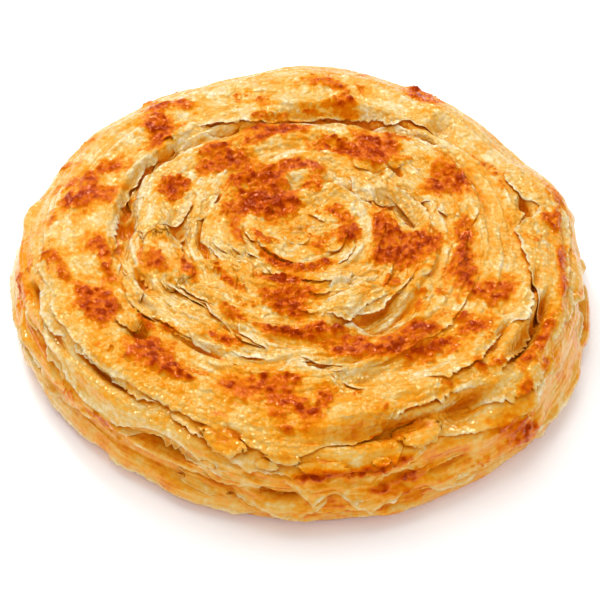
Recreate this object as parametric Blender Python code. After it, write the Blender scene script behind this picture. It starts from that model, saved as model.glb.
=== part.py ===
"""Paratha flatbread: one coiled, flattened and pan-fried round of layered dough.

The bread is one piece, so it is one closed solid. A turned half section gives the round,
and a function then moves each point for the uneven outline, the spiral folds of the coil
on the top face, the open seam between the outer turn and the heart, and the layers that
show round the side. It lies on a flat underside. Metres, +Z up, with the origin at the
middle of the underside.
"""

import math

import bmesh
import bpy

# Driving dimensions, in metres.
RADIUS = 0.0792
HEIGHT = 0.0275
UNDERSIDE_RADIUS = 0.0757
BELLY_HEIGHT = 0.008
PLATEAU_RADIUS = 0.0723
PLATEAU_HEIGHT = 0.0245

# The coil, seen from above, opens clockwise from the heart to the rim.
SEAM_PITCH = 0.029
SEAM_RADIUS_AT_ZERO = 0.061
SEAM_DEPTH = 0.0034
SEAM_HALF_WIDTH = 0.0030
SEAM_FROM_RADIUS = 0.020
FOLD_PITCH = SEAM_PITCH / 2
FOLD_HEIGHT = 0.0014

# The layers round the side wind slowly down, like a screw thread.
LAYER_HEIGHT = 0.0066
LAYER_DEPTH = 0.0010

# Uneven outline: (waves round the rim, share of the radius, degrees to its first crest).
OUTLINE_WAVES = (
    (1, 0.010, 353.0),
    (2, 0.017, 117.0),
    (3, 0.013, 62.0),
    (4, 0.016, 82.0),
    (5, 0.005, 11.0),
    (6, 0.006, 25.0),
)
# Uneven top: (waves round the rim, height in metres, degrees to its first crest).
TOP_WAVES = (
    (2, 0.0006, 120.0),
    (5, 0.0005, 300.0),
)

# Mesh density.
SECTORS = 96
TOP_RINGS = 24
SIDE_ROWS = 13

DOUGH_COLOUR = (0.80, 0.50, 0.17, 1.0)
DOUGH_ROUGHNESS = 0.45


def clear_scene():
    for item in list(bpy.data.objects):
        bpy.data.objects.remove(item, do_unlink=True)


def smooth_step(low, high, value):
    """0 below low, 1 above high, and smooth between them."""
    share = min(1.0, max(0.0, (value - low) / (high - low)))
    return share * share * (3.0 - 2.0 * share)


def side_point(share):
    """A point of the side's half section, from the underside's edge, 0, to the plateau's edge, 1."""
    height = PLATEAU_HEIGHT * share
    if height < BELLY_HEIGHT:
        rise = height / BELLY_HEIGHT
        bulge = math.sqrt(1.0 - (1.0 - rise) ** 2)
        return UNDERSIDE_RADIUS + (RADIUS - UNDERSIDE_RADIUS) * bulge, height
    rise = (height - BELLY_HEIGHT) / (PLATEAU_HEIGHT - BELLY_HEIGHT)
    return RADIUS - (RADIUS - PLATEAU_RADIUS) * rise**1.8, height


def top_height(radius):
    """The low dome of the top face."""
    share = min(1.0, radius / PLATEAU_RADIUS)
    return HEIGHT - (HEIGHT - PLATEAU_HEIGHT) * share**4


def half_section():
    """(radius, height) from the middle of the underside, round the side, to the middle of the top."""
    points = [(0.0, 0.0)]
    points += [side_point(row / SIDE_ROWS) for row in range(SIDE_ROWS + 1)]
    for ring in range(1, TOP_RINGS + 1):
        radius = PLATEAU_RADIUS * (1.0 - ring / TOP_RINGS)
        points.append((radius, top_height(radius)))
    return points


def wave_sum(waves, angle):
    """The sum of a table's waves at an angle round the rim."""
    return sum(size * math.cos(count * (angle - math.radians(crest))) for count, size, crest in waves)


def distance_to_seam(radius, angle):
    """How far a point of the top lies from the nearest turn of the seam, measured outwards."""
    turns = (radius - SEAM_RADIUS_AT_ZERO) / SEAM_PITCH + angle / math.tau
    return (turns - round(turns)) * SEAM_PITCH


def seam_cut(radius, angle):
    """The depth of the open seam between two turns of the coil."""
    across = distance_to_seam(radius, angle) / SEAM_HALF_WIDTH
    opens = smooth_step(0.0, SEAM_FROM_RADIUS, radius) * smooth_step(PLATEAU_RADIUS, 0.9 * PLATEAU_RADIUS, radius)
    uneven = 0.75 + 0.25 * math.cos(2.0 * (angle - math.radians(125.0)))
    return SEAM_DEPTH * opens * uneven * math.exp(-across * across)


def fold_rise(radius, angle):
    """The rounded crest of each fold, which leans outwards, so its outer flank is the steep one."""
    turns = (radius - SEAM_RADIUS_AT_ZERO) / FOLD_PITCH + angle * SEAM_PITCH / FOLD_PITCH / math.tau
    along = turns - math.floor(turns)
    fades = smooth_step(0.0, FOLD_PITCH, radius)
    return FOLD_HEIGHT * fades * (math.sin(math.pi * along**1.5) - 0.6)


def layer_cut(height, angle):
    """The depth of the groove between two layers of the side."""
    turns = height / LAYER_HEIGHT + angle / math.tau
    fades = smooth_step(0.0, 0.5 * LAYER_HEIGHT, height)
    return LAYER_DEPTH * fades * (0.5 - 0.5 * math.cos(math.tau * turns)) ** 2


def shaped(point):
    """Moves a point of the turned round to its place on the bread."""
    radius = math.hypot(point.x, point.y)
    if radius < 1e-6:
        return point
    angle = math.atan2(point.y, point.x)
    share = radius / RADIUS
    spread = radius * (1.0 + share * wave_sum(OUTLINE_WAVES, angle))
    height = point.z
    if height > 0.0:
        on_side = smooth_step(0.94 * PLATEAU_RADIUS, PLATEAU_RADIUS, radius)
        spread -= on_side * layer_cut(height, angle)
        relief = fold_rise(radius, angle) - seam_cut(radius, angle)
        height += (1.0 - on_side) * relief + share * height / HEIGHT * wave_sum(TOP_WAVES, angle)
    point.x = spread * math.cos(angle)
    point.y = spread * math.sin(angle)
    point.z = height
    return point


def dough_material():
    material = bpy.data.materials.new("fried_dough")
    material.use_nodes = True
    shader = material.node_tree.nodes["Principled BSDF"]
    shader.inputs["Base Color"].default_value = DOUGH_COLOUR
    shader.inputs["Roughness"].default_value = DOUGH_ROUGHNESS
    shader.inputs["Metallic"].default_value = 0.0
    return material


def centre_on_origin(form):
    """Slides the uneven round so that the middle of its box lies over the origin."""
    for axis in (0, 1):
        places = [vertex.co[axis] for vertex in form.verts]
        middle = (min(places) + max(places)) / 2.0
        for vertex in form.verts:
            vertex.co[axis] -= middle


def make_paratha():
    """Spins the half section into a round, then shapes it."""
    form = bmesh.new()
    outline = [form.verts.new((radius, 0.0, height)) for radius, height in half_section()]
    edges = [form.edges.new(pair) for pair in zip(outline, outline[1:])]
    bmesh.ops.spin(
        form,
        geom=outline + edges,
        cent=(0.0, 0.0, 0.0),
        axis=(0.0, 0.0, 1.0),
        steps=SECTORS,
        angle=math.tau,
        use_merge=True,
    )
    bmesh.ops.remove_doubles(form, verts=form.verts, dist=1e-6)
    for vertex in form.verts:
        vertex.co = shaped(vertex.co)
    centre_on_origin(form)
    bmesh.ops.recalc_face_normals(form, faces=form.faces)
    bmesh.ops.triangulate(form, faces=form.faces)
    mesh = bpy.data.meshes.new("paratha")
    form.to_mesh(mesh)
    form.free()
    mesh.shade_smooth()
    mesh.materials.append(dough_material())
    bread = bpy.data.objects.new("paratha", mesh)
    bpy.context.scene.collection.objects.link(bread)


clear_scene()
make_paratha()
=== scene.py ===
"""Looks of the paratha flatbread: a coil of thin layers of dough, laid, draped, fried and browned.

The bread's rounded face is unrolled into two measures: the angle round the middle, and the
reach, which runs from the middle of the top over the rim and down the side to the base. A
height map over these two, the pile, starts as the bare core with its hollows. Layers of dough
are laid on it one after another: each drapes over what already lies there. Where a layer's
edge is stuck down it only shows as a fold. Where it is free it is torn and thin and stands
clear, and that lip is a piece of its own. The crust is then made over the whole pile.
"""

import math
from collections import namedtuple

import bmesh
import bpy
import numpy as np
from bpy.props import FloatProperty, FloatVectorProperty, PointerProperty
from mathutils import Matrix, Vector


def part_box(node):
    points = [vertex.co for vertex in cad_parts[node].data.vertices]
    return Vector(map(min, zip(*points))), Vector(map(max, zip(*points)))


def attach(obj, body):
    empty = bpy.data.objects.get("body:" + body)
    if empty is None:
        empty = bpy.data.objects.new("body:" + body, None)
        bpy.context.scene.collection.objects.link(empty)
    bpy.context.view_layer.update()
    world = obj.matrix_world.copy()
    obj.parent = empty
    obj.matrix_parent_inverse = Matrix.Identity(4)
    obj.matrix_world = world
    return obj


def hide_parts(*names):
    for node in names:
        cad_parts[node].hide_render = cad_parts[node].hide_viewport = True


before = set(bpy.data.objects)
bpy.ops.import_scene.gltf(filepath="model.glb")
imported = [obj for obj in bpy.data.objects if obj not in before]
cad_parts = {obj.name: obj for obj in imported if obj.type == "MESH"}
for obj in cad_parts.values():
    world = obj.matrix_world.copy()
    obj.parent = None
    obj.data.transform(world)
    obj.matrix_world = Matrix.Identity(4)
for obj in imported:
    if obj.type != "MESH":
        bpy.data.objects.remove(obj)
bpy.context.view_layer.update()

bl_info = {
    "name": "Paratha flatbread",
    "version": (1, 0, 0),
    "blender": (4, 5, 0),
    "location": "3D View > Sidebar > Paratha",
    "description": "Lays, fries and lights a coiled flaky flatbread",
    "category": "Add Mesh",
}

NODE = "paratha"
BODY = "root"
MM = 0.001


def linear(code):
    """An sRGB hex code as linear red, green and blue."""
    levels = [int(code[place : place + 2], 16) / 255.0 for place in (1, 3, 5)]
    return tuple(v / 12.92 if v <= 0.04045 else ((v + 0.055) / 1.055) ** 2.4 for v in levels)


# ---------------------------------------------------------------- what a user would change


class DoughSizes(bpy.types.PropertyGroup):
    """Sizes of the dough's layers, folds and blisters."""

    skin: FloatProperty(
        name="Skin", description="Thickness of one layer of dough", default=0.45 * MM, unit="LENGTH"
    )
    lip: FloatProperty(
        name="Lip", description="Thickness of a torn edge of a layer", default=0.2 * MM, unit="LENGTH"
    )
    crumple: FloatProperty(
        name="Crumple", description="Height of the small folds in a layer", default=0.22 * MM, unit="LENGTH"
    )
    blister: FloatProperty(
        name="Blister", description="Height of the blisters on browned skin",
        default=1.1 * MM, unit="LENGTH"
    )
    drape: FloatProperty(
        name="Drape", description="Width of the hollows that a layer spans", default=1.1 * MM, unit="LENGTH"
    )


class DoughColours(bpy.types.PropertyGroup):
    """Colours of the dough, from dry and pale to browned."""

    pale: FloatVectorProperty(
        name="Pale", description="Dry torn edges", subtype="COLOR", default=linear("#e2cfa8")
    )
    cream: FloatVectorProperty(
        name="Cream", description="Thin dry layers", subtype="COLOR", default=linear("#d7bd86")
    )
    butter: FloatVectorProperty(
        name="Butter", description="Plain skin", subtype="COLOR", default=linear("#d4a54e")
    )
    golden: FloatVectorProperty(
        name="Golden", description="Oily skin", subtype="COLOR", default=linear("#da8f18")
    )
    # In folds and creases amber is painted shade.
    amber: FloatVectorProperty(
        name="Amber", description="Oily folds, and rims of browned patches", subtype="COLOR",
        default=linear("#d27404")
    )
    # In hollows this colour is painted shade.
    toasted: FloatVectorProperty(
        name="Toasted", description="Hollows and toasted skin", subtype="COLOR", default=linear("#c85e01")
    )
    browned: FloatVectorProperty(
        name="Browned", description="Browned patches", subtype="COLOR", default=linear("#b84700")
    )
    charred: FloatVectorProperty(
        name="Charred", description="Darkest blisters", subtype="COLOR", default=linear("#942a00")
    )


class StageSettings(bpy.types.PropertyGroup):
    """The floor, the lights and the camera."""

    floor: FloatVectorProperty(
        name="Floor", description="Colour of the board", subtype="COLOR", default=linear("#ffffff")
    )
    daylight: FloatProperty(name="Daylight", description="Strength of the light all round", default=0.85)
    overhead: FloatProperty(name="Overhead", description="Power of the wide soft light", default=3.1,
                            unit="POWER")
    fill: FloatProperty(name="Fill", description="Power of the soft light in front", default=1.5,
                        unit="POWER")
    key: FloatProperty(name="Key", description="Power of the low light behind", default=4.4, unit="POWER")
    glint: FloatProperty(
        name="Glint", description="Power of the small lamps that only leave gloss",
        default=2.4, unit="POWER"
    )
    distance: FloatProperty(
        name="Distance", description="From the camera to the bread", default=0.55, unit="LENGTH"
    )
    elevation: FloatProperty(
        name="Elevation", description="Angle that the camera looks down",
        default=math.radians(45.0), subtype="ANGLE"
    )
    lens: FloatProperty(name="Lens", description="Focal length in millimetres", default=119.0)


# ---------------------------------------------------------------- noise

GRADIENTS = np.random.default_rng(11).normal(size=(256, 3))
GRADIENTS /= np.linalg.norm(GRADIENTS, axis=1, keepdims=True)


def scramble(x, y, z, seed):
    """A repeatable number from 0 to 255 for each whole-number place."""
    mixed = (x * 374761393 + y * 668265263 + z * 1442695041 + seed * 974634777) & 0xFFFFFFFF
    mixed = ((mixed ^ (mixed >> 13)) * 1274126177) & 0xFFFFFFFF
    return (mixed ^ (mixed >> 16)) & 255


def noise(x, y, z=0.0, seed=0):
    """Smooth gradient noise, about -1 to 1, at arrays of places one unit per cell."""
    x, y, z = np.broadcast_arrays(x, y, z)
    cell = [np.floor(axis).astype(np.int64) for axis in (x, y, z)]
    part = [axis - whole for axis, whole in zip((x, y, z), cell)]
    ease = [p * p * p * (p * (p * 6.0 - 15.0) + 10.0) for p in part]
    total = np.zeros(x.shape)
    for corner in range(8):
        step = (corner & 1, (corner >> 1) & 1, corner >> 2)
        slope = GRADIENTS[scramble(*(whole + s for whole, s in zip(cell, step)), seed)]
        share = np.ones(x.shape)
        reach = np.zeros(x.shape)
        for axis in range(3):
            share = share * (ease[axis] if step[axis] else 1.0 - ease[axis])
            reach = reach + slope[..., axis] * (part[axis] - step[axis])
        total += share * reach
    return 1.6 * total


def line_noise(along, size, seed):
    """Noise along a line, with swells of about a given size."""
    return noise(along / size, seed * 7.31 + 0.5, 0.0, seed)


def smooth(low, high, value):
    """0 below low, 1 above high, and smooth between them."""
    share = np.clip((value - low) / (high - low), 0.0, 1.0)
    return share * share * (3.0 - 2.0 * share)


# ---------------------------------------------------------------- the unrolled face

# Half section of the bread in shares of its size: (share of the radius, share of the height).
SECTION = (
    (0.0, 1.0), (0.25, 1.0), (0.5, 0.993), (0.68, 0.972), (0.80, 0.94), (0.875, 0.885), (0.925, 0.80),
    (0.958, 0.66), (0.984, 0.48), (0.998, 0.30), (1.0, 0.20), (0.99, 0.10), (0.972, 0.03), (0.95, 0.008),
)
# Points of each stretch before smoothing, the even steps along the face after it, and how many
# of those steps the smoothing takes in.
SECTION_STEPS = 12
EVEN_STEP = 0.25 * MM
SMOOTHED_STEPS = 25
# How much of the height is left for the folds on top.
FOLD_ROOM = 0.6 * MM
# How far the underside stands clear of the ground.
CLEARANCE = 0.05 * MM
OUTLINE_SECTORS = 96
OUTLINE_SMOOTHINGS = 2


def measured_outline():
    """The greatest radius of the CAD solid in each sector round the middle."""
    points = np.array([vertex.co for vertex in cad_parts[NODE].data.vertices])
    radius = np.hypot(points[:, 0], points[:, 1])
    angle = np.arctan2(points[:, 1], points[:, 0]) % math.tau
    sector = (angle / math.tau * OUTLINE_SECTORS + 0.5).astype(int) % OUTLINE_SECTORS
    widest = np.array([radius[sector == k].max() for k in range(OUTLINE_SECTORS)])
    for _ in range(OUTLINE_SMOOTHINGS):
        widest = (np.roll(widest, 1) + 2.0 * widest + np.roll(widest, -1)) / 4.0
    return np.arange(OUTLINE_SECTORS) / OUTLINE_SECTORS * math.tau, widest


OUTLINE_ANGLES, OUTLINE = measured_outline()
RADIUS = OUTLINE.mean()
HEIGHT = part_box(NODE)[1].z
OUTLINE = OUTLINE / RADIUS


def outline_share(angle):
    """How far the bread's outline lies from a true round, by angle."""
    return np.interp(angle % math.tau, OUTLINE_ANGLES, OUTLINE, period=math.tau)


def bell(taps):
    """The weights of a smooth mean over a number of points, less the two at its ends."""
    weights = np.hanning(taps)[1:-1]
    return weights / weights.sum()


def softened(line, kernel, start, stop):
    """A line blurred by a kernel, with the stretches before and after it given."""
    return np.convolve(np.concatenate([start, line, stop]), kernel, "valid")


def section_table():
    """(reach, radius, height, normal out, normal up) along the half section, on a smooth curve."""
    shares = np.array(SECTION)
    knots = np.arange(len(shares), dtype=float)
    fine = np.linspace(0.0, knots[-1], SECTION_STEPS * (len(shares) - 1) + 1)
    radius = np.interp(fine, knots, shares[:, 0] * RADIUS)
    height = np.interp(fine, knots, shares[:, 1] * (HEIGHT - FOLD_ROOM))
    reach = np.concatenate([[0.0], np.cumsum(np.hypot(np.diff(radius), np.diff(height)))])
    even = np.arange(0.0, reach[-1], EVEN_STEP)
    radius, height = np.interp(even, reach, radius), np.interp(even, reach, height)
    kernel = bell(SMOOTHED_STEPS)
    pad = len(kernel) // 2
    after = 2 * radius[-1] - radius[-2 : -pad - 2 : -1], 2 * height[-1] - height[-2 : -pad - 2 : -1]
    radius = softened(radius, kernel, 2 * radius[0] - radius[pad:0:-1], after[0])
    height = softened(height, kernel, height[pad:0:-1], after[1])
    run, rise = np.gradient(radius), np.gradient(height)
    length = np.hypot(run, rise)
    return even, radius, height, -rise / length, run / length


REACH, SECTION_RADIUS, SECTION_HEIGHT, NORMAL_OUT, NORMAL_UP = section_table()
REACH_END = REACH[-1]


def radius_at(reach):
    """The mean radius at a reach."""
    return np.interp(reach, REACH, SECTION_RADIUS)


# How much the rim stands out or in, by direction: (degrees, millimetres).
RIM_TRIM = (
    (0, -1.9), (14, 1.5), (20, 1.0), (28, -0.9), (36, -1.0), (44, 0.1), (53, 0.6), (60, -0.5), (67, -0.2),
    (79, 0.4), (90, 0.9), (101, 0.1), (113, 0.5), (130, 1.4), (142, 0.7), (160, -1.4), (180, 0.5),
    (200, 0.9), (218, 0.9), (233, 1.8), (246, 0.5), (300, 0.7), (318, 1.0), (326, -0.6), (341, -1.3),
)


def shape_trim(angle, reach):
    """How the bread's real face stands off the plain section: a full shoulder, an uneven rim, and
    a base that is tucked in, most on the near side."""
    degrees, amount = np.array(RIM_TRIM).T
    rim = np.interp(np.degrees(angle), degrees, amount, period=360.0)
    rim = rim * smooth(54 * MM, 70 * MM, reach)
    shoulder = smooth(56 * MM, 67 * MM, reach) * smooth(84 * MM, 75 * MM, reach)
    near = smooth(0.2, 0.9, -np.sin(angle))
    tucked = (0.7 + 0.3 * near) * smooth(80 * MM, 94 * MM, reach)
    return MM * (0.8 * shoulder + rim - tucked)


def place(angle, reach, offset):
    """Points of the bread, from angle, reach and how far they stand off the face."""
    offset = offset + shape_trim(angle, reach)
    radius = radius_at(reach) + offset * np.interp(reach, REACH, NORMAL_OUT)
    height = np.interp(reach, REACH, SECTION_HEIGHT) + offset * np.interp(reach, REACH, NORMAL_UP)
    radius = radius * (1.0 + radius / RADIUS * (outline_share(angle) - 1.0))
    height = np.maximum(height, CLEARANCE)
    return np.stack([radius * np.cos(angle), radius * np.sin(angle), height], -1)


# ---------------------------------------------------------------- the pile of dough

# The pile's cells run along the reach in rows, and round the middle in columns.
ROWS = 331
COLUMNS = 1440
ROW_STEP = REACH_END / (ROWS - 1)
COLUMN_STEP = math.tau / COLUMNS

# Hollows of the core: (degrees, reach, half length along, half width across, depth), in millimetres.
HOLLOWS = (
    (18, 31, 7, 4, 3.0), (26, 27, 5, 3.5, 2.5), (38, 21.5, 7, 1.8, 1.6), (55, 21, 8, 1.6, 1.0),
    (43, 36.8, 3.5, 1.3, 1.8), (49, 32.5, 3, 1.2, 1.4), (9, 46, 3, 1.8, 1.5), (45, 52, 9, 1.2, 2.2),
    (60, 51.5, 8, 3.2, 3.0), (72, 50.5, 12, 3.8, 3.8), (85, 48.5, 9, 3.5, 3.2), (97, 46.5, 6, 1.8, 2.2),
    (110, 46.2, 8, 1.0, 2.0), (125, 46.8, 9, 1.4, 2.0), (140, 48.5, 10, 1.9, 2.8),
    (155, 49.2, 10, 1.6, 2.8), (165, 48.3, 9, 1.9, 3.2), (176, 47.2, 6, 2.6, 3.5),
    (186, 48.5, 6, 2.0, 2.0), (181, 32.5, 7, 2.5, 2.4), (165, 30.8, 6, 1.0, 1.4), (160, 25.4, 8, 0.8, 1.5),
    (172, 25.8, 5, 0.7, 1.2), (198, 27, 7, 1.2, 1.5), (222, 37.6, 7, 1.4, 2.8), (215, 41, 5, 2.0, 1.5),
    (207, 46, 6, 1.5, 1.8), (216, 50.8, 5, 1.4, 2.2), (222, 56.8, 2.4, 2.2, 2.4), (285, 49.6, 9, 1.1, 2.2),
    (243, 51, 7, 0.8, 1.4), (302, 38, 11, 4.5, 2.8), (330, 32.5, 4, 2.0, 1.8), (287, 55, 5, 1.5, 1.2),
    (318, 63.5, 4, 0.9, 1.8), (325, 62.7, 3, 0.8, 1.8), (327, 68.2, 9, 1.8, 2.6), (337, 68, 5, 1.4, 3.6),
    (344, 64, 4, 1.0, 2.6), (9.5, 62.5, 3.5, 1.5, 2.4), (47.5, 60.5, 3.2, 4.0, 1.8),
    (285, 70.3, 14, 1.8, 2.6), (287, 71.3, 4, 1.0, 3.5), (304, 72, 7, 3.0, 2.6), (196, 74.5, 4, 1.5, 2.6),
    (210, 74.7, 6, 1.0, 2.0), (225, 72.5, 10, 0.9, 1.6), (243, 80, 9, 2.3, 3.2), (230, 83.6, 7, 1.1, 2.6),
    (266, 83.8, 5, 1.2, 3.2), (255, 82, 8, 1.5, 1.6), (317, 75.7, 4, 0.5, 1.4), (326, 75.7, 3, 0.5, 1.4),
    (252, 41.5, 9, 0.7, 1.2), (300, 24.6, 6, 0.6, 1.4),
)
# The oiliness of the bare core.
CORE_TONE = 0.62
# Nearer the middle than this, lengths round it are told as at this radius.
LEAST_RADIUS = 2 * MM
# A blur over the whole face is done in bands of rows, since cells are narrower near the middle.
BLUR_BANDS = ((0, 12), (12, 30), (30, 70), (70, 150), (150, ROWS))
# How far the core is sunk everywhere, to leave room for the layers.
CORE_DEPTH = 1.0 * MM
# The share of their depth by which the hollows are opened again once the folds are laid.
DEEPENED = 0.85


def ellipse_distance(angle, reach, degrees, middle, along, across):
    """Distance from a spot on the face, as a share of its half length and half width."""
    turn = (angle - math.radians(degrees) + math.pi) % math.tau - math.pi
    radius = 0.5 * (radius_at(reach) + float(radius_at(middle * MM)))
    return np.hypot(turn * radius / (along * MM), (reach / MM - middle) / across)


def hollow_depth(angle, reach):
    """How deep the hollows are."""
    sunk = np.zeros(angle.shape)
    for degrees, middle, along, across, depth in HOLLOWS:
        far = ellipse_distance(angle, reach, degrees, middle, along, across)
        sunk = np.maximum(sunk, depth * MM * smooth(1.5, 0.3, far))
    return sunk


def core_relief(angle, reach):
    """The core under the layers: sunk all over, deeper in the hollows and down the side, crumpled
    in the middle, and level with the face at the base."""
    sunk = CORE_DEPTH + hollow_depth(angle, reach)
    x, y = reach * np.cos(angle) / MM, reach * np.sin(angle) / MM
    crumple = 0.9 * np.abs(noise(x / 3.4, y / 3.4, 0.0, 51))
    crumple = crumple + 0.5 * np.abs(noise(x / 1.7, y / 1.7, 0.0, 52))
    heart = smooth(10 * MM, 6 * MM, reach)
    sunk = sunk * (1.0 - heart) + heart * MM * (0.9 - crumple)
    sunk += 0.9 * MM * smooth(73 * MM, 79 * MM, reach)
    return -sunk * smooth(REACH_END, REACH_END - 9 * MM, reach)


def soft_blur(field, rows, columns):
    """A soft blur over a number of rows and columns of cells. The field's edges stay as they are."""
    for axis, cells in ((0, rows), (1, columns)):
        taps = max(1, int(math.ceil(2.0 * cells)))
        weights = np.exp(-0.5 * (np.arange(-taps, taps + 1) / max(cells, 0.3)) ** 2)
        weights /= weights.sum()
        pads = [(0, 0), (0, 0)]
        pads[axis] = (taps, taps)
        wide = np.pad(field, pads, mode="edge")
        count = field.shape[axis]
        slices = (
            wide[k : k + count] if axis == 0 else wide[:, k : k + count] for k in range(2 * taps + 1)
        )
        field = sum(weight * part for weight, part in zip(weights, slices))
    return field


def whole_blur(field, size):
    """A blur of a size in metres over the whole face, which joins up round the middle."""
    soft = np.empty_like(field)
    for first, last in BLUR_BANDS:
        radius = max(float(radius_at((first + last) / 2 * ROW_STEP)), LEAST_RADIUS)
        rows, columns = size / ROW_STEP, min(size / (radius * COLUMN_STEP), 200.0)
        pad_rows, pad_columns = int(2 * rows) + 2, int(2 * columns) + 2
        low, high = max(0, first - pad_rows), min(ROWS, last + pad_rows)
        wide = np.concatenate([field[low:high, -pad_columns:], field[low:high],
                               field[low:high, :pad_columns]], 1)
        blurred = soft_blur(wide, rows, columns)[:, pad_columns:-pad_columns]
        soft[first:last] = blurred[first - low : last - low]
    return soft


def between_cells(field, row, column):
    """A field's values at places between its cells. Its last column joins its first one."""
    low, left = row.astype(int), np.floor(column).astype(int)
    down, across = row - low, column - left
    left, right = left % field.shape[1], (left + 1) % field.shape[1]
    upper = field[low, left] * (1 - across) + field[low, right] * across
    lower = field[low + 1, left] * (1 - across) + field[low + 1, right] * across
    return upper * (1 - down) + lower * down


class Pile:
    """How high the dough stands off the face, over the whole unrolled face.

    top counts the lips that stand clear, ground is the crust under them, tone tells how oily
    the layer on top is, and edge marks torn edges."""

    def __init__(self):
        reach, angle = np.meshgrid(np.arange(ROWS) * ROW_STEP, np.arange(COLUMNS) * COLUMN_STEP,
                                   indexing="ij")
        self.angle, self.reach = angle, reach
        self.ground = core_relief(angle, reach)
        self.top = self.ground.copy()
        self.tone = np.full(angle.shape, CORE_TONE)
        self.edge = np.zeros(angle.shape)

    def sink(self, depth):
        """Lets everything laid so far sink by a depth map."""
        self.ground -= depth
        self.top -= depth

    def read(self, field, angle, reach):
        """A field over the whole face, at an angle and a reach."""
        row = np.clip(reach / ROW_STEP, 0.0, ROWS - 1.001)
        return between_cells(field, row, (angle / COLUMN_STEP) % COLUMNS)


# How sharply a skin of dough can bend over what lies under it.
BEND = 0.35 * MM


class Window:
    """A part of the pile, wide enough for one layer, with a draped surface over what lies there."""

    def __init__(self, pile, start, stop, inner, outer, drape):
        middle = max(float(radius_at(0.5 * (inner + outer))), 5 * MM)
        self.column_size = middle * COLUMN_STEP
        margin_rows = int(3 * drape / ROW_STEP) + 3
        margin_columns = int(3 * drape / self.column_size) + 3
        first, last = int(start / COLUMN_STEP) - margin_columns, int(stop / COLUMN_STEP) + margin_columns
        self.columns = np.arange(first, last + 1)
        low = max(0, int(inner / ROW_STEP) - margin_rows)
        self.rows = np.arange(low, min(ROWS, int(outer / ROW_STEP) + margin_rows + 1))
        self.cells = np.ix_(self.rows, self.columns % COLUMNS)
        self.angle = np.broadcast_to(self.columns * COLUMN_STEP, (len(self.rows), len(self.columns)))
        self.reach = np.broadcast_to(self.rows[:, None] * ROW_STEP, self.angle.shape)
        top = pile.top[self.cells]
        soft = soft_blur(top, drape / ROW_STEP, drape / self.column_size)
        draped = np.maximum(top, soft)
        self.draped = soft_blur(draped, BEND / ROW_STEP, BEND / self.column_size)

    def read(self, field, angle, reach):
        """A field over this window, at an angle and a reach."""
        row = np.clip(reach / ROW_STEP - self.rows[0], 0.0, len(self.rows) - 1.001)
        column = np.clip(angle / COLUMN_STEP - self.columns[0], 0.0, len(self.columns) - 1.001)
        return between_cells(field, row, column)


PILE = Pile()
PIECES = {}

# ---------------------------------------------------------------- one layer

# A layer of dough is told by its edge: a line of (degrees, reach in millimetres) points. Side is
# in where the edge faces the middle, and out where it faces the rim. Width is how far the layer
# runs back from its edge, and lift how high the edge stands, both in millimetres. Rag is how
# deep the edge is torn, tone how oily it is, from 0 to 1, free how much of the edge is not stuck,
# and bulk how thick the layer is, in millimetres, where it is a fold of several skins.
Layer = namedtuple("Layer", "side width lift rag tone free bulk line")

# A torn flake: its middle, half length along and half width across, the reach that it gains
# from one end to the other, its lift, rag and tone, and the side where it is stuck.
Flake = namedtuple("Flake", "degrees reach along across lean lift rag tone stuck")

# How far a lip runs back under the crust, and the sizes of its cells and of an edge's steps.
STRIP = 3.2 * MM
GRID_STEP = 0.4 * MM
LINE_STEP = math.radians(0.5)
# Room for the torn lip past a layer's edge.
LIP_ROOM = 4 * MM
# The first seed of the rows of each piece's table, and how far apart their seeds lie.
FIRST_SEED = {
    "low_strata": 1000,
    "high_strata": 1000,
    "top_strata": 4000,
    "heart_layers": 6000,
    "inner_layers": 7000,
    "outer_layers": 8000,
    "side_layers": 9000,
    "torn_flakes": 9900,
}
SEED_STEP = 30


def lobes(along, seed):
    """A torn edge: rounded lobes of three sizes with sharp nicks between them."""
    large = np.abs(line_noise(along, 6.5 * MM, seed)) * 1.1
    middle = np.abs(line_noise(along, 2.4 * MM, seed + 1)) * 1.3
    small = np.abs(line_noise(along, 1.2 * MM, seed + 2)) * 0.4
    torn = 0.35 + 1.3 * np.clip(line_noise(along, 13.0 * MM, seed + 3) + 0.3, 0.0, 1.0)
    return 1.5 * (torn * (large + middle) + small) - 0.9


def crumpled(along, across, seed, crumple):
    """Small folds of a layer, mostly along it, with sharp creases between them."""
    fibre = noise(along / (10 * MM), across / (1.5 * MM), 0.0, seed)
    ripple = noise(along / (5 * MM), across / (2.4 * MM), 3.0, seed)
    crease = np.abs(noise(along / (22 * MM), across / (2.6 * MM), 6.0, seed))
    nick = np.abs(noise(along / (8 * MM), across / (1.7 * MM), 9.0, seed))
    deep = (1.0 - smooth(0.0, 0.13, crease)) + 0.6 * (1.0 - smooth(0.0, 0.12, nick))
    return crumple * (0.5 * fibre + 0.85 * ripple - 0.6 * deep)


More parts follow.
